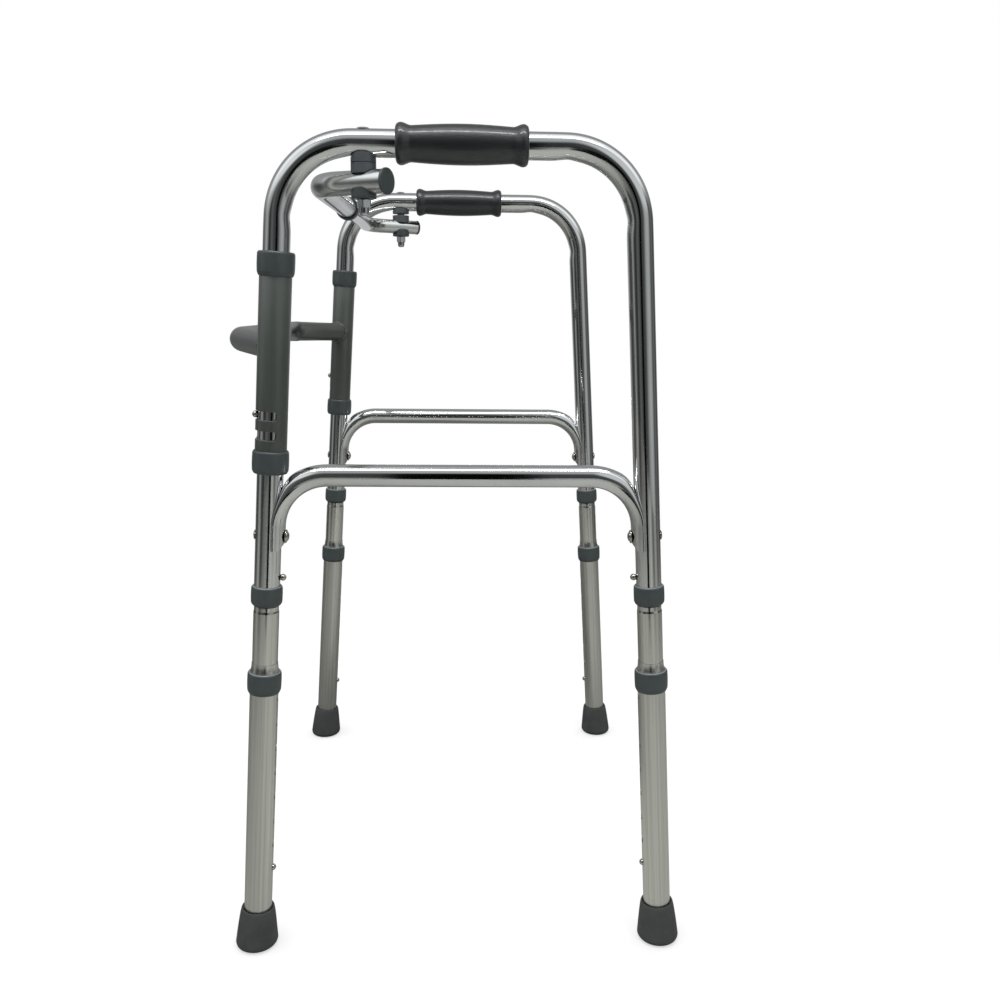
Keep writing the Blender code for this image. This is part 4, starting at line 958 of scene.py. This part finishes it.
brace = {
    "sleeveBore": 0.0132,
    "sleeveR": 0.0153,
    "low": 0.5106,
    "tubeR": 0.0127,
    "reach": 0.0545,
    "armAngle": math.radians(27),
    "bendR": 0.045,
    "belowTop": 0.0879,
    "belowBend": 0.0318,    # the sleeve's top under the upright's bend
    "aboveEnd": 0.0566,     # the upper slot over the sleeve's end
    "startsAt": 0.0165,     # the round tube's skin, from the upright's axis
    "slotSpacing": 0.019,
    "slotHalf": 0.0043,
    "slotCorner": 0.0030,
    "slotAngles": (-17, 118),
    "slotColumns": (-15, 15),
    "slotMargin": 0.0072,
    "kink": 0.0114,         # how far the inside of a bend has folded in
    "kinkWide": (0.50, 0.14),  # and how wide, as an angle, at the bend and at the fold's far end
    "lobe": 0.0016,         # bulge above and below the fold
    "kinkShift": 0.003,     # from the bend's middle, towards the cross tube's middle
    "kinkCurve": 0.012,     # how far the fold's end runs on along the arm, a quarter turn away
    "kinkLength": (0.090, 0.0040),
    "lip": 0.0020,          # bulge on the arm's side of the kink
    "dent": 0.0010,         # and the shallow dent after it
    "weldR": 0.0025,
}
brace["high"] = walker["topHeight"] - topReach * cosLean - brace["belowBend"]
brace["upperSlot"] = brace["low"] + brace["aboveEnd"]
brace["height"] = brace["high"] - brace["belowTop"]


def bracePoint(side, x, y):
    return moved(np.array([x, y, 0.0]), legFrame(side, -1, brace["height"]))


def addSleeve(shell, side):
    # The slots run round the outer side, by angles from the front
    low = brace["low"] / cosLean + collar["lip"] + walker["touch"]
    high = brace["high"] / cosLean - collar["lip"] - walker["touch"]
    upper, margin = brace["upperSlot"] / cosLean, brace["slotMargin"]
    slots = [upper, upper - brace["slotSpacing"]]
    rows = np.concatenate([[low, high]] + [s + np.linspace(-margin, margin, 9) for s in slots])
    rows = np.unique(np.round(rows, 7))
    rows, outer, inner = easedEnds(rows, brace["sleeveR"], brace["sleeveBore"])
    first, last = (math.radians(a) for a in brace["slotAngles"])
    half = (last - first) / 2
    centre = (side * (first + last) / 2 - math.pi / 2) % (2 * math.pi)
    nearest = round(centre / (2 * np.pi) * 72) * 2 * np.pi / 72
    holes = [{"turn": nearest, "shift": (centre - nearest) * brace["sleeveR"], "height": s,
              "half": (half * brace["sleeveR"], brace["slotHalf"]), "corner": brace["slotCorner"],
              "columns": brace["slotColumns"], "gap": margin} for s in slots]
    wall(shell, straightUp(legFrame(side, -1)), rows, outer, inner, columns=72, holes=holes)


def addWeld(shell, side):
    # A bead round the joint: the joint's curve is (t, w, h) with w = r sin b, h = r cos b and
    # t = sqrt(R^2 - w^2) out along the arm. The bead's radius ripples along it.
    b = turnsOf(160)
    r, sleeveR = brace["tubeR"], brace["sleeveR"]
    w, h = r * np.sin(b), r * np.cos(b)
    t = np.sqrt(sleeveR ** 2 - w ** 2)
    arm = np.array([-side * math.cos(brace["armAngle"]), -math.sin(brace["armAngle"]), 0])
    across, up = np.array([arm[1], -arm[0], 0]), np.array([0, 0, 1.0])
    line = t[:, None] * arm + w[:, None] * across + h[:, None] * up
    offArm = np.sin(b)[:, None] * across + np.cos(b)[:, None] * up
    offSleeve = unit(line * (1, 1, 0))
    out = unit(offArm + offSleeve)
    way = unit(np.roll(line, -1, 0) - np.roll(line, 1, 0))
    cross = np.cross(way, out)
    a = turnsOf(20)[None, :, None]
    bead = brace["weldR"] * (1 + 0.12 * np.cos(34 * b) + 0.10 * np.cos(9 * b + 1))[:, None, None]
    section = np.cos(a) * out[:, None] * 0.8 + np.sin(a) * cross[:, None] * 1.25
    points = line[:, None] + bead * section
    shell.grid(moved(points, legFrame(side, -1, brace["height"])), looped=True)


def makeBrace():
    shell = Shell()
    for side in sides.values():
        addSleeve(shell, side)
        addWeld(shell, side)
    run = brace["reach"] / math.tan(brace["armAngle"])
    corners = [bracePoint(1, 0, 0), bracePoint(1, -run, -brace["reach"]),
               bracePoint(-1, run, -brace["reach"]), bracePoint(-1, 0, 0)]
    route = Route(corners, brace["bendR"], legFrame(1, -1)[:3, 2])
    arm, start = np.linspace(0.02, 0.06, 8), brace["startsAt"]
    middle = np.linspace(route.bends[0][1], route.bends[1][0], 40)
    rows = route.marks(0.0016, [*arm, *middle, *(route.length - arm)])
    rows = rows[(rows > start) & (rows < route.length - start)]
    turn = turnsOf(72)[None, :]
    # Inside each bend the wall has folded in. With v the angle from the inside and u the
    # distance from the fold towards the arm, less kinkCurve (1 - cos v), the fold's depth p is
    # smooth(1 + u / long) before it and bell(u / short) after it, and the radius grows by
    # lobe p bell(v - 1.05) + lip bell(u - 8 mm) bell(v) - dent bell(u - 33 mm) bell(v)
    # - kink p bell(v / wide), wide going from one width to the other along the fold
    inward = np.arccos(np.clip(np.sin(turn), -1, 1))
    form = 0 * rows[:, None] * turn
    for (a, b), way in zip(route.bends, (-1, 1)):
        u = ((rows - (a + b) / 2) * way + brace["kinkShift"])[:, None]
        u = u - brace["kinkCurve"] * (1 - np.cos(inward))
        back, fore = brace["kinkLength"]
        press = np.where(u < 0, smooth(1 + u / back), bell(u, fore))
        wide = span(brace["kinkWide"], np.clip(-u / back, 0, 1))
        form = form - brace["kink"] * press * bell(inward, wide)
        form = form + brace["lobe"] * press * bell(u, 0.03) * bell(inward - 1.05, 0.42)
        form = form + brace["lip"] * bell(u - 0.008, 0.0045) * bell(inward, 0.9)
        form = form - brace["dent"] * bell(u - 0.033, 0.009) * bell(inward, 0.5)
    layers = []
    for r in (brace["tubeR"], brace["tubeR"] - walker["wall"]):
        # Its ends follow the sleeve: sqrt(S^2 - (r sin a)^2) from the upright's axis
        saddle = np.sqrt((brace["sleeveBore"] + 0.001) ** 2 - (r * np.sin(turn)) ** 2)
        parts = [route.surface(turn, saddle, r),
                 route.surface(turn, rows[:, None], np.maximum(r + form, 0.05 * r)),
                 route.surface(turn, route.length - saddle, r)]
        layers.append([np.concatenate(values) for values in zip(*parts)])
    shell.ring(*layers)
    piece("frontBrace", shell, "painted_brace", "front_brace", "front_brace", sharp=50)


def makeSleeveCollars(name, side):
    seat = brace["sleeveR"] + walker["touch"]
    bottom = brace["low"] / cosLean + collar["sleeve"][0]
    for word, height, flip in (("bottom", bottom, False), ("top", brace["high"] / cosLean, True)):
        profile = collarProfile("sleeve", seat, brace["sleeveBore"], flip)
        shell = turned(Shell(), profile, legFrame(side, -1) @ shift(0, 0, height), 64, looped=True)
        piece(f"sleeveCollar_{word}_{name}", shell, "dark_plastic", "front_brace",
              f"sleeve_collar_{word}_{name}")


# Telescoping bar on its two pivots

bar = {
    "outerR": 0.011,
    "fit": 0.0003,
    "below": 0.0109,        # gap between the top tube and the bar
    "bendR": 0.045,
    "armAngle": math.radians(30),
    "armPastPin": 0.024,
    "forward": 0.0455,
    "overlap": 0.060,
    "pinFromBend": 0.00985,
    "plug": 0.012,          # how far an end cap's plug goes in
    "cap": 0.0022,          # its flange's thickness, its crown's rise, and how far the
    "crown": 0.0015,        # flange stands out past the tube, left and right
    "proud": {"left": 0.001, "right": 0.0003},
    "ringR": (0.0122, 0.0135),      # the ring's step and body
    "ringLength": (0.004, 0.014),   # the step's, and the whole
    "oval": 0.02,
    "bendStep": 0.0016,
}
bar["innerR"] = bar["outerR"] - walker["wall"] - bar["fit"]
barHeight = walker["topHeight"] - walker["tubeR"] - bar["below"] - bar["outerR"]
pinY = bar["pinFromBend"] - topStraight


def pinFrame(side):
    return shift(side * walker["halfWidth"], pinY, barHeight)


def barRoute(side):
    sine, cosine = math.sin(bar["armAngle"]), math.cos(bar["armAngle"])
    reach = 0.0 if side > 0 else bar["overlap"]
    end = (side * bar["armPastPin"] * sine, bar["armPastPin"] * cosine, 0)
    corner = (-side * bar["forward"] * math.tan(bar["armAngle"]), -bar["forward"], 0)
    stop = (reach - side * walker["halfWidth"], -bar["forward"], 0)
    return Route(moved(np.array([end, corner, stop]), pinFrame(side)), bar["bendR"], (0, 0, 1))


def barR(side):
    return bar["outerR"] if side > 0 else bar["innerR"]


def makeBar(name, side):
    # Tube radius at turn a and distance s: R (1 + oval bent(s) cos 2a)
    route, r, word = barRoute(side), barR(side), "outer" if side > 0 else "inner"
    rows, outer, inner = easedEnds(route.marks(bar["bendStep"]), r, r - walker["wall"])
    form = 1 + bar["oval"] * route.bentShare(rows, 0.02)[:, None] * np.cos(2 * turnsOf(64)[None, :])
    shell = wall(Shell(), route.surface, rows, outer[:, None] * form, inner[:, None] * form)
    piece(f"bar_{word}", shell, "polished_tube", f"crossbar_{word}", f"crossbar_{word}_tube",
          finish="barTube" if side > 0 else None)
    # End cap: a plug, a flange, and a crown at cap + crown sqrt(1 - c^2) where r = c flange
    touch, cap, deep = walker["touch"], bar["cap"], bar["plug"]
    plug, flange = r - walker["wall"] - touch, r + bar["proud"][name]
    crown = [(flange * c, cap + bar["crown"] * math.sqrt(1 - c * c))
             for c in (0.93, 0.85, 0.7, 0.45, 0.2, 0)]
    corners = [(0, -deep), (plug, -deep), (plug, touch), (flange, touch), (flange, cap + 0.0002),
               *crown]
    profile = eased(corners, [0, 0.0008, 0, 0.0003, 0.0007, *[0.0] * 6])
    place, way = route.at(np.array([0.0]))
    z = -way[0]
    x = unit(np.cross((0, 0, 1.0), z))
    m = axes(x, np.cross(z, x), z)
    m[:3, 3] = place[0]
    piece(f"endCap_{name}", turned(Shell(), profile, m), "dark_plastic", f"crossbar_{word}",
          f"crossbar_end_cap_{name}")


def makeRing():
    # A turned profile: the step, then the wider body over the tube's end
    lip, seat = bar["innerR"] + walker["touch"], bar["outerR"] + walker["touch"]
    (stepR, bodyR), (step, whole) = bar["ringR"], bar["ringLength"]
    corners = [(lip, 0), (stepR, 0), (stepR, step), (bodyR, step), (bodyR, whole),
               (seat, whole), (seat, step), (lip, step)]
    profile = eased(corners, [0.0003, 0.0006, 0.0004, 0.0007, 0.0009, 0.0003, 0.0002, 0.0002])
    place = shift(-step - walker["touch"], pinY - bar["forward"], barHeight)
    place = place @ axes((0, 0, -1), (0, 1, 0), (1, 0, 0))
    shell = turned(Shell(), profile, place, 64, looped=True)
    piece("barRing", shell, "dark_plastic", "crossbar_outer", "crossbar_ring")


pivot = {
    "boltR": 0.003,
    "headR": 0.0056,
    "headHeight": 0.0009,
    "saddleR": 0.01175,
    "split": 0.0048,        # upper saddle's foot below the top tube
    "upperGrasp": 0.0038,
    "lowerGrasp": 0.0036,
    "washerBelow": 0.0040,
    "washerGrasp": 0.0050,
    "gap": 0.0007,
    "splits": {"left": (0.0, 0.0005, 0.00015),     # shift of the split, its gap and its
               "right": (0.0010, 0.0024, 0.0006)},  # edges' round
    "neckR": 0.0050,
    "hexR": 0.0071,
    "hexHeight": 0.0070,
    "domeR": 0.0050,
    "domeHeight": 0.0075,
    "boreR": 0.0033,
    "snugR": 0.0034,        # the upper saddle's hole for the bolt
    "looseR": 0.0038,       # and those that turn on it
    "cutEdge": 0.0004,
    "washerRound": 0.0012,
    "blindEnd": 0.0025,     # the end of the nut's hole above its tip, and the bolt's end
    "boltFromTip": 0.0028,
}


def saddleBlock(shell, low, high, hole, ease, carve, top, matrix):
    # A round block on a polar grid. Its end away from the ease is cut to carve(x, y), the
    # height of the tube that it fits; the ring goes hole, low rim, high rim and back.
    a, rim, edge = turnsOf(72)[None, :], pivot["saddleR"], pivot["cutEdge"]
    flatR = [hole, hole + 0.001, rim - ease - edge, rim - ease, rim - 0.3 * ease, rim, rim, rim]
    flatZ = np.array([0, 0, 0, 0, 0.3 * ease, ease, ease + edge, ease + 1.5 * edge])[:, None]
    cutR = [rim, rim, rim - 0.3 * edge, rim - edge, *np.linspace(rim - 2 * edge, hole, 16)]
    sink = np.array([2.25 * edge, edge, 0.25 * edge, *np.zeros(17)])[:, None]
    r = np.array(flatR + cutR)[:, None]
    x, y = r * np.cos(a), r * np.sin(a)
    cut = carve(x, y)[len(flatR):]
    if top:
        z = np.concatenate([low + flatZ + 0 * a, np.minimum(high, cut) - sink])
    else:
        z = np.concatenate([high - flatZ + 0 * a, np.maximum(low, cut) + sink])
    points = np.stack([x, y, z], -1)
    shell.grid(moved(points, matrix), points, looped=True)


def makePivot(name, side):
    place, r = pinFrame(side), barR(side)
    frameBody, barBody = f"side_frame_{name}", f"crossbar_{'outer' if side > 0 else 'inner'}"
    tubeR, touch, snug, loose = walker["tubeR"], walker["touch"], pivot["snugR"], pivot["looseR"]
    under = walker["topHeight"] - tubeR - barHeight
    s, c = side * math.sin(bar["armAngle"]), math.cos(bar["armAngle"])
    raised, gap, edge = pivot["splits"][name]
    upperFoot = under - pivot["split"] + raised
    washerLow = -r - pivot["washerBelow"]
    nutTop = washerLow - pivot["gap"]

    def tubeUnder(x, y):
        return under + tubeR - np.sqrt(np.maximum((tubeR + touch) ** 2 - x ** 2, 0))

    def armHeight(x, y):
        return np.sqrt(np.maximum((r + touch) ** 2 - (x * c - y * s) ** 2, 0))

    upper, lower, washer, acorn, bolt = (Shell() for k in range(5))
    saddleBlock(upper, upperFoot, under + pivot["upperGrasp"], snug, edge, tubeUnder, True, place)
    if gap > 0.001:
        neck, high, low = pivot["neckR"], upperFoot + 0.0002, upperFoot - gap + 0.0003
        profile = [(snug, high), (snug, low), (neck - 0.0002, low), (neck, low + 0.0002),
                   (neck, high)]
        turned(upper, profile, place, looped=True)
    saddleBlock(lower, r - pivot["lowerGrasp"], upperFoot - gap, loose, edge, armHeight, False,
                place)
    saddleBlock(washer, washerLow, pivot["washerGrasp"] - r, loose, pivot["washerRound"],
                lambda x, y: -armHeight(x, y), True, place)
    nut(acorn, nutTop, place)
    # The bolt's head follows the tube: t + h (1 - (r / R)^3), where t is the tube's top above x
    seat = under + 2 * tubeR + touch
    end = nutTop - pivot["hexHeight"] - pivot["domeHeight"] + pivot["boltFromTip"]
    shankR, bevel, headR = pivot["boltR"], pivot["cutEdge"], pivot["headR"]
    profile = [(0, end), (shankR - bevel, end), (shankR, end + bevel), (shankR, seat), (0, seat)]
    turned(bolt, profile, place, 40)
    a = turnsOf(48)[None, :]
    far = headR * np.concatenate([np.linspace(0, 1, 14), np.linspace(1, 0.3, 6)])[:, None]
    rise = pivot["headHeight"] * (1 - (far / headR) ** 3) + 0.0002
    rise[14:] = 0.00005
    x, y = far * np.cos(a), far * np.sin(a)
    local = np.stack([x, y, seat - tubeR + np.sqrt(tubeR ** 2 - x ** 2) + rise], -1)
    bolt.grid(moved(local, place), local)
    # The saddles take the plastic painted lighter, as painted light from the lamp above
    for shell, label, slotName, body, node, finish in (
            (upper, "saddleUpper", "dark_plastic", frameBody, "saddle_upper", "saddlePlasticPaintedLight"),
            (lower, "saddleLower", "dark_plastic", barBody, "saddle_lower", "saddlePlasticPaintedLight"),
            (washer, "washer", "dark_plastic", barBody, "washer", None),
            (acorn, "acornNut", "zinc_steel", frameBody, "nut", None),
            (bolt, "bolt", "zinc_steel", frameBody, "bolt", None)):
        piece(f"{label}_{name}", shell, slotName, body, f"pivot_{node}_{name}", finish=finish)


def nut(shell, top, place):
    # Hexagon: apothem / cos(angle from the flat's middle), held under the chamfers' cones and
    # the corners' round. Below it a tapered dome, and inside it the bolt's blind hole.
    low = top - pivot["hexHeight"]
    tipZ = low - pivot["domeHeight"]
    apothem = pivot["hexR"] * math.cos(math.pi / 6)

    def radiusAt(r, a, h):
        off = np.abs((a + np.pi / 6) % (np.pi / 3) - np.pi / 6)
        hexagon = np.minimum(apothem / np.cos(np.pi / 6 - off), pivot["hexR"] * 0.985)
        cone = apothem + 0.0001 + np.minimum(top - h, h - low) * 1.9
        onHex = (r > apothem * 0.99) & (h >= low - 1e-6)
        return np.where(onHex, np.minimum(hexagon, cone), r + 0 * a)

    domeR, boreR, end = pivot["domeR"], pivot["boreR"], tipZ + pivot["blindEnd"]
    a = np.linspace(0, np.pi / 2, 9)
    curve = zip(domeR * (0.57 + 0.39 * np.cos(a)), low - 0.0030 - 0.0042 * np.sin(a))
    dome = [(domeR + 0.0001, low), (domeR, low - 0.0004), *curve,
            (0.3 * domeR, tipZ + 0.0001), (0, tipZ)]
    chamfer = np.linspace(0, 0.0008, 5)
    heights = [*(top - chamfer), top - 0.003, *(low + chamfer[::-1])]
    profile = [(0, end), (boreR, end), (boreR, top), *[(apothem, h) for h in heights], *dome]
    turned(shell, profile, place, 72, radiusAt=radiusAt)


# Everything, side by side

for name, side in sides.items():
    makeFrameTube(name, side)
    makeArch(name, side)
    for end in ends:
        makeRivet(name, end, side)
    makeGrip(name, side)
print("side frames made")
for name, side in sides.items():
    for end, way in ends.items():
        label = f"{end}_{name}"
        makeInnerTube(label, way, side)
        makeLowerTube(label, way, side)
        makeLegCollars(label, way, side)
        makeTip(label, way, side)
makeButtons()
print("legs and buttons made")
makeBrace()
for name, side in sides.items():
    makeSleeveCollars(name, side)
print("front brace made")
for name, side in sides.items():
    makeBar(name, side)
    makePivot(name, side)
makeRing()
print("telescoping bar made")


# Studio

studio = {
    "domeR": 3.2,
    "floorColour": (0.325, 0.33, 0.308),
    "floorFalls": (0.8, 2.3),       # between these radii the floor takes the flags' greys
    "floorMiddle": (0.66, 0.34, 30),    # within them: the painted pool of light, its mean grey, swing and brightest azimuth
    "floorFull": 0.36,              # the flags' grey that is white on the floor
    "floorWhite": (0.45, 1.5, 0.55, 1.0),   # radii, and how far the camera sees it white there
    # the floor's painted glow, as the metal sees it
    "floorGlow": 0.06,
    "world": 0.88,
    "strip": 26.0,                  # the lamp that the metal shows
    "fill": (12.0, 10.0),           # lamps that it doesn't, in front and behind
    # Grey level at each azimuth (degrees from +x towards +y): near the horizon, and far out
    # on the floor
    "flags": (
        (-180, 0.25), (-165, 0.30), (-152, 0.13), (-138, 0.27), (-122, 0.08), (-108, 0.045),
        (-94, 0.07), (-83, 0.26), (-72, 0.24), (-62, 0.07), (-53, 0.03), (-45, 0.03), (-36, 0.10),
        (-26, 0.10), (-18, 0.06), (0, 0.045), (14, 0.06), (22, 0.10), (30, 0.24), (39, 0.32),
        (48, 0.38), (58, 0.36), (68, 0.24), (76, 0.08), (86, 0.10), (96, 0.13), (112, 0.05),
        (128, 0.10), (142, 0.25), (156, 0.13), (168, 0.30), (180, 0.25)),
    "floorFlags": (
        (-180, 0.25), (-152, 0.13), (-138, 0.27), (-122, 0.08), (-108, 0.045), (-94, 0.08),
        (-80, 0.24), (-68, 0.22), (-58, 0.05), (-47, 0.04), (-36, 0.12), (-24, 0.14), (-16, 0.17),
        (-8, 0.14), (0, 0.12), (10, 0.24), (22, 0.35), (30, 0.24), (38, 0.10), (46, 0.12),
        (57, 0.26), (67, 0.22), (76, 0.09), (86, 0.09), (96, 0.15), (112, 0.05),
        (128, 0.10), (142, 0.25), (156, 0.13), (180, 0.25)),
    # Elevation where the grey sky begins above the flags, at some azimuths
    "skyFrom": (
        (-180, 20), (-120, 24), (-76, 18), (-60, 22), (-44, 32), (-12, 38), (0, 40), (14, 37),
        (26, 26), (38, 20), (58, 22), (74, 38), (120, 30), (180, 20)),
    "skyGrey": (0.40, 0.30),        # in front and at the back
    "skySoft": 20,
    # White band overhead, along y: angles round the y axis where it fades in and out, and the
    # elevation where it begins
    "band": (57, 68, 86, 101),
    "bandFrom": 22,
    # Lighter panels: azimuth, elevation, half their width and height, and grey level; and how
    # soft their edges are, sideways and upwards
    "panelSoft": (12, 8),
    "panels": ((-50, 42, 24, 9, 0.80), (40, 38, 24, 13, 0.60), (180, 14, 34, 12, 0.52)),
    # Black card at the camera: its x, half width, height, edges' softness and grey level
    "card": (1.30, 0.155, 1.12, 0.06, 0.05),
}


def stagePiece(name, points, around, finish, tone):
    # A stage object with one grey level at each point
    shell = Shell()
    shell.grid(points, around=around)
    data = bpy.data.meshes.new(name)
    data.from_pydata(np.concatenate(shell.points), [], np.concatenate(shell.faces))
    greys = data.attributes.new("tone", "FLOAT", "POINT").data
    greys.foreach_set("value", tone.astype(np.float32).ravel())
    data.shade_smooth()
    data.materials.append(finish)
    made = bpy.data.objects.new(name, data)
    scene.collection.objects.link(made)


def stageMaterial(name, build):
    made = bpy.data.materials.new(name)
    made.use_nodes = True
    nodes = made.node_tree.nodes
    nodes.remove(nodes["Principled BSDF"])
    path = nodes.new("ShaderNodeLightPath")
    rays = {kind: Wire(path.outputs[f"Is {kind} Ray"])
            for kind in ("Camera", "Glossy", "Transmission")}
    tone = rays["Camera"].node("ShaderNodeAttribute", {"attribute_name": "tone"}, output="Fac")
    feed(nodes["Material Output"].inputs["Surface"], build(rays, tone))
    return made


def gauze(rays, tone):
    # Grey flags in front of the white world: clear to every ray but those in the metal
    tint = 1 - rays["Glossy"] * (1 - tone)
    colour = tint.mix((0, 0, 0, 1), rays["Glossy"].mix((1, 1, 1, 1), (0.965, 0.99, 1, 1)))
    return tint.node("ShaderNodeBsdfTransparent", {}, {"Color": colour})


def paper(rays, tone):
    # Pale floor. The camera sees it white, and the metal partly so as a painted glow, with the
    # shadow kept. Other rays see painted light: the floor colour times the tone.
    seen = rays["Camera"] + rays["Transmission"]
    at = seen.node("ShaderNodeTexCoord", output="Object")
    radius = at.length()
    colour = seen.mix(tone.mix((0, 0, 0, 1), opaque(studio["floorColour"])), (0.95, 0.95, 0.95, 1))
    matt = seen.node("ShaderNodeBsdfDiffuse", {}, {"Color": colour})
    glow = seen.node("ShaderNodeEmission", {}, {"Strength": 1.0})
    white = seen * radius.between(*studio["floorWhite"])
    white = white + rays["Glossy"] * tone * studio["floorGlow"]
    return seen.node("ShaderNodeMixShader", {}, {0: white, 1: matt, 2: glow})


def overAzimuth(key, azimuth):
    # A studio list's values, joined by straight lines over the azimuth
    return np.interp(azimuth, *np.array(studio[key]).T)


def makeDome(finish):
    # R (cos a cos e, sin a cos e, sin e). Greys: the flags low down, a plain sky above them,
    # a white band overhead where the angle round the y axis is right, and the panels.
    azimuth = np.linspace(-180, 180, 181)[None, :]
    height = np.linspace(-2, 90, 70)[:, None]
    a, e = np.radians(azimuth), np.radians(height)
    points = studio["domeR"] * polar(np.cos(e), a, np.sin(e))
    front, rear = studio["skyGrey"]
    sky = front + (rear - front) * smooth((0.2 - np.cos(a)) / 0.8)
    over = np.degrees(np.arctan2(points[..., 2], points[..., 0]))
    start, full, fade, gone = studio["band"]
    band = smooth((over - start) / (full - start)) * (1 - smooth((over - fade) / (gone - fade)))
    sky = sky + (1 - sky) * band * smooth(height / studio["bandFrom"] - 1)
    start, low = overAzimuth("skyFrom", azimuth), overAzimuth("flags", azimuth)
    tone = low + (sky - low) * smooth((height - start) / studio["skySoft"] + 0.5)
    softX, softY = studio["panelSoft"]
    for at, up, wide, high, grey in studio["panels"]:
        away, off = abs((azimuth - at + 180) % 360 - 180), abs(height - up)
        share = smooth((wide - away) / softX + 0.5) * smooth((high - off) / softY + 0.5)
        tone = tone + np.maximum(grey - tone, 0) * share
    stagePiece("studioDome", points, False, finish, np.clip(tone, 0, 1))


def makeCard(finish):
    # A flat grid (x, y, z), black in its middle, blacker low down, and clear at its edges
    x, half, top, soft, grey = studio["card"]
    y, z = np.linspace(-0.4, 0.4, 65)[None, :], np.linspace(0.001, 1.5, 61)[:, None]
    points = np.stack(np.broadcast_arrays(x, y, z), -1)
    dark = smooth((half - abs(y)) / soft + 0.5) * smooth((top - z) / (3 * soft) + 0.5)
    grey = grey * (0.25 + 0.75 * smooth((z - 0.15) / 0.4))
    stagePiece("studioCard", points, False, finish, 1 - (1 - grey) * dark)


def makeFloor():
    # (r cos a, r sin a, 0). Grey in the metal and its bounce, as painted light on the floor: mean +
    # swing cos(a - brightest) near the middle, a painted pool of light, and the flags' greys
    # further out.
    a, r = turnsOf(180)[None, :], np.linspace(0, studio["domeR"], 70)[:, None]
    points = polar(r, a, 0)
    azimuth = (np.degrees(a) + 180) % 360 - 180
    near, far = studio["floorFalls"]
    mean, swing, brightest = studio["floorMiddle"]
    middle = mean + swing * np.cos(a - math.radians(brightest))
    outer = np.clip(overAzimuth("floorFlags", azimuth) / studio["floorFull"], 0, 1)
    tone = middle + (outer - middle) * smooth((r - near) / (far - near))
    stagePiece("studioFloor", points, True, stageMaterial("studioFloor", paper), tone)


def areaLight(name, size, power, place, aim, shown=True):
    data = bpy.data.lights.new(name, "AREA")
    data.shape, data.size, data.size_y, data.energy = "RECTANGLE", size[0], size[1], power
    made = bpy.data.objects.new(name, data)
    scene.collection.objects.link(made)
    back = unit(np.array(place, float) - np.array(aim, float))
    x = unit(np.cross((0.0, 1.0, 0.0), back)) if abs(back[1]) < 0.9 else np.array((1.0, 0, 0))
    m = axes(x, np.cross(back, x), back)
    m[:3, 3] = place
    made.matrix_world = Matrix(m.tolist())
    made.visible_glossy = shown


def makeWorld():
    world = bpy.data.worlds.new("studio")
    scene.world = world
    world.use_nodes = True
    world.cycles.sampling_method = "NONE"
    nodes = world.node_tree.nodes
    path = nodes.new("ShaderNodeLightPath")
    seen = Wire(path.outputs["Is Camera Ray"]) + Wire(path.outputs["Is Glossy Ray"])
    seen = (seen + Wire(path.outputs["Is Transmission Ray"])).between(0.0, 1.0)
    feed(nodes["Background"].inputs["Color"], (1, 1, 1, 1))
    feed(nodes["Background"].inputs["Strength"], studio["world"] + seen * (1 - studio["world"]))


camera = {  # solved from the photograph
    "place": (1.22103, 0.00613, 0.67308),
    "angles": (0.04439, 0.1943, 0.01118),   # yaw, pitch and roll
    "focal": 0.98605,                       # over the picture's width
    "shift": (-0.00885, -0.0004),
}


def makeCamera():
    # The view turned by yaw from -x towards +y, down by pitch, then rolled
    yaw, pitch, roll = camera["angles"]
    level = np.array([-math.cos(yaw), math.sin(yaw), 0]) * math.cos(pitch)
    forward = level - (0, 0, math.sin(pitch))
    right = np.array([math.sin(yaw), math.cos(yaw), 0])
    up = np.cross(right, forward)
    c, s = math.cos(roll), math.sin(roll)
    right, up = c * right + s * up, c * up - s * right
    data = bpy.data.cameras.new("camera")
    data.sensor_width, data.lens = 36.0, 36.0 * camera["focal"]
    data.shift_x, data.shift_y = camera["shift"]
    made = bpy.data.objects.new("camera", data)
    scene.collection.objects.link(made)
    m = axes(right, up, -forward)
    m[:3, 3] = camera["place"]
    made.matrix_world = Matrix(m.tolist())
    scene.camera = made


makeFloor()
flagCloth = stageMaterial("flagCloth", gauze)
makeDome(flagCloth)
makeCard(flagCloth)
makeWorld()
areaLight("stripAbove", (0.26, 2.4), studio["strip"], (0.98, 0.0, 2.9), (0.15, 0, 0.5))
areaLight("fillFront", (1.6, 1.6), studio["fill"][0], (0.1, -1.7, 2.5), (0, 0, 0.5), shown=False)
areaLight("fillBack", (1.6, 1.6), studio["fill"][1], (-1.6, 1.9, 1.9), (0, 0, 0.4), shown=False)
makeCamera()
scene.view_settings.view_transform = "Standard"
print("studio made")
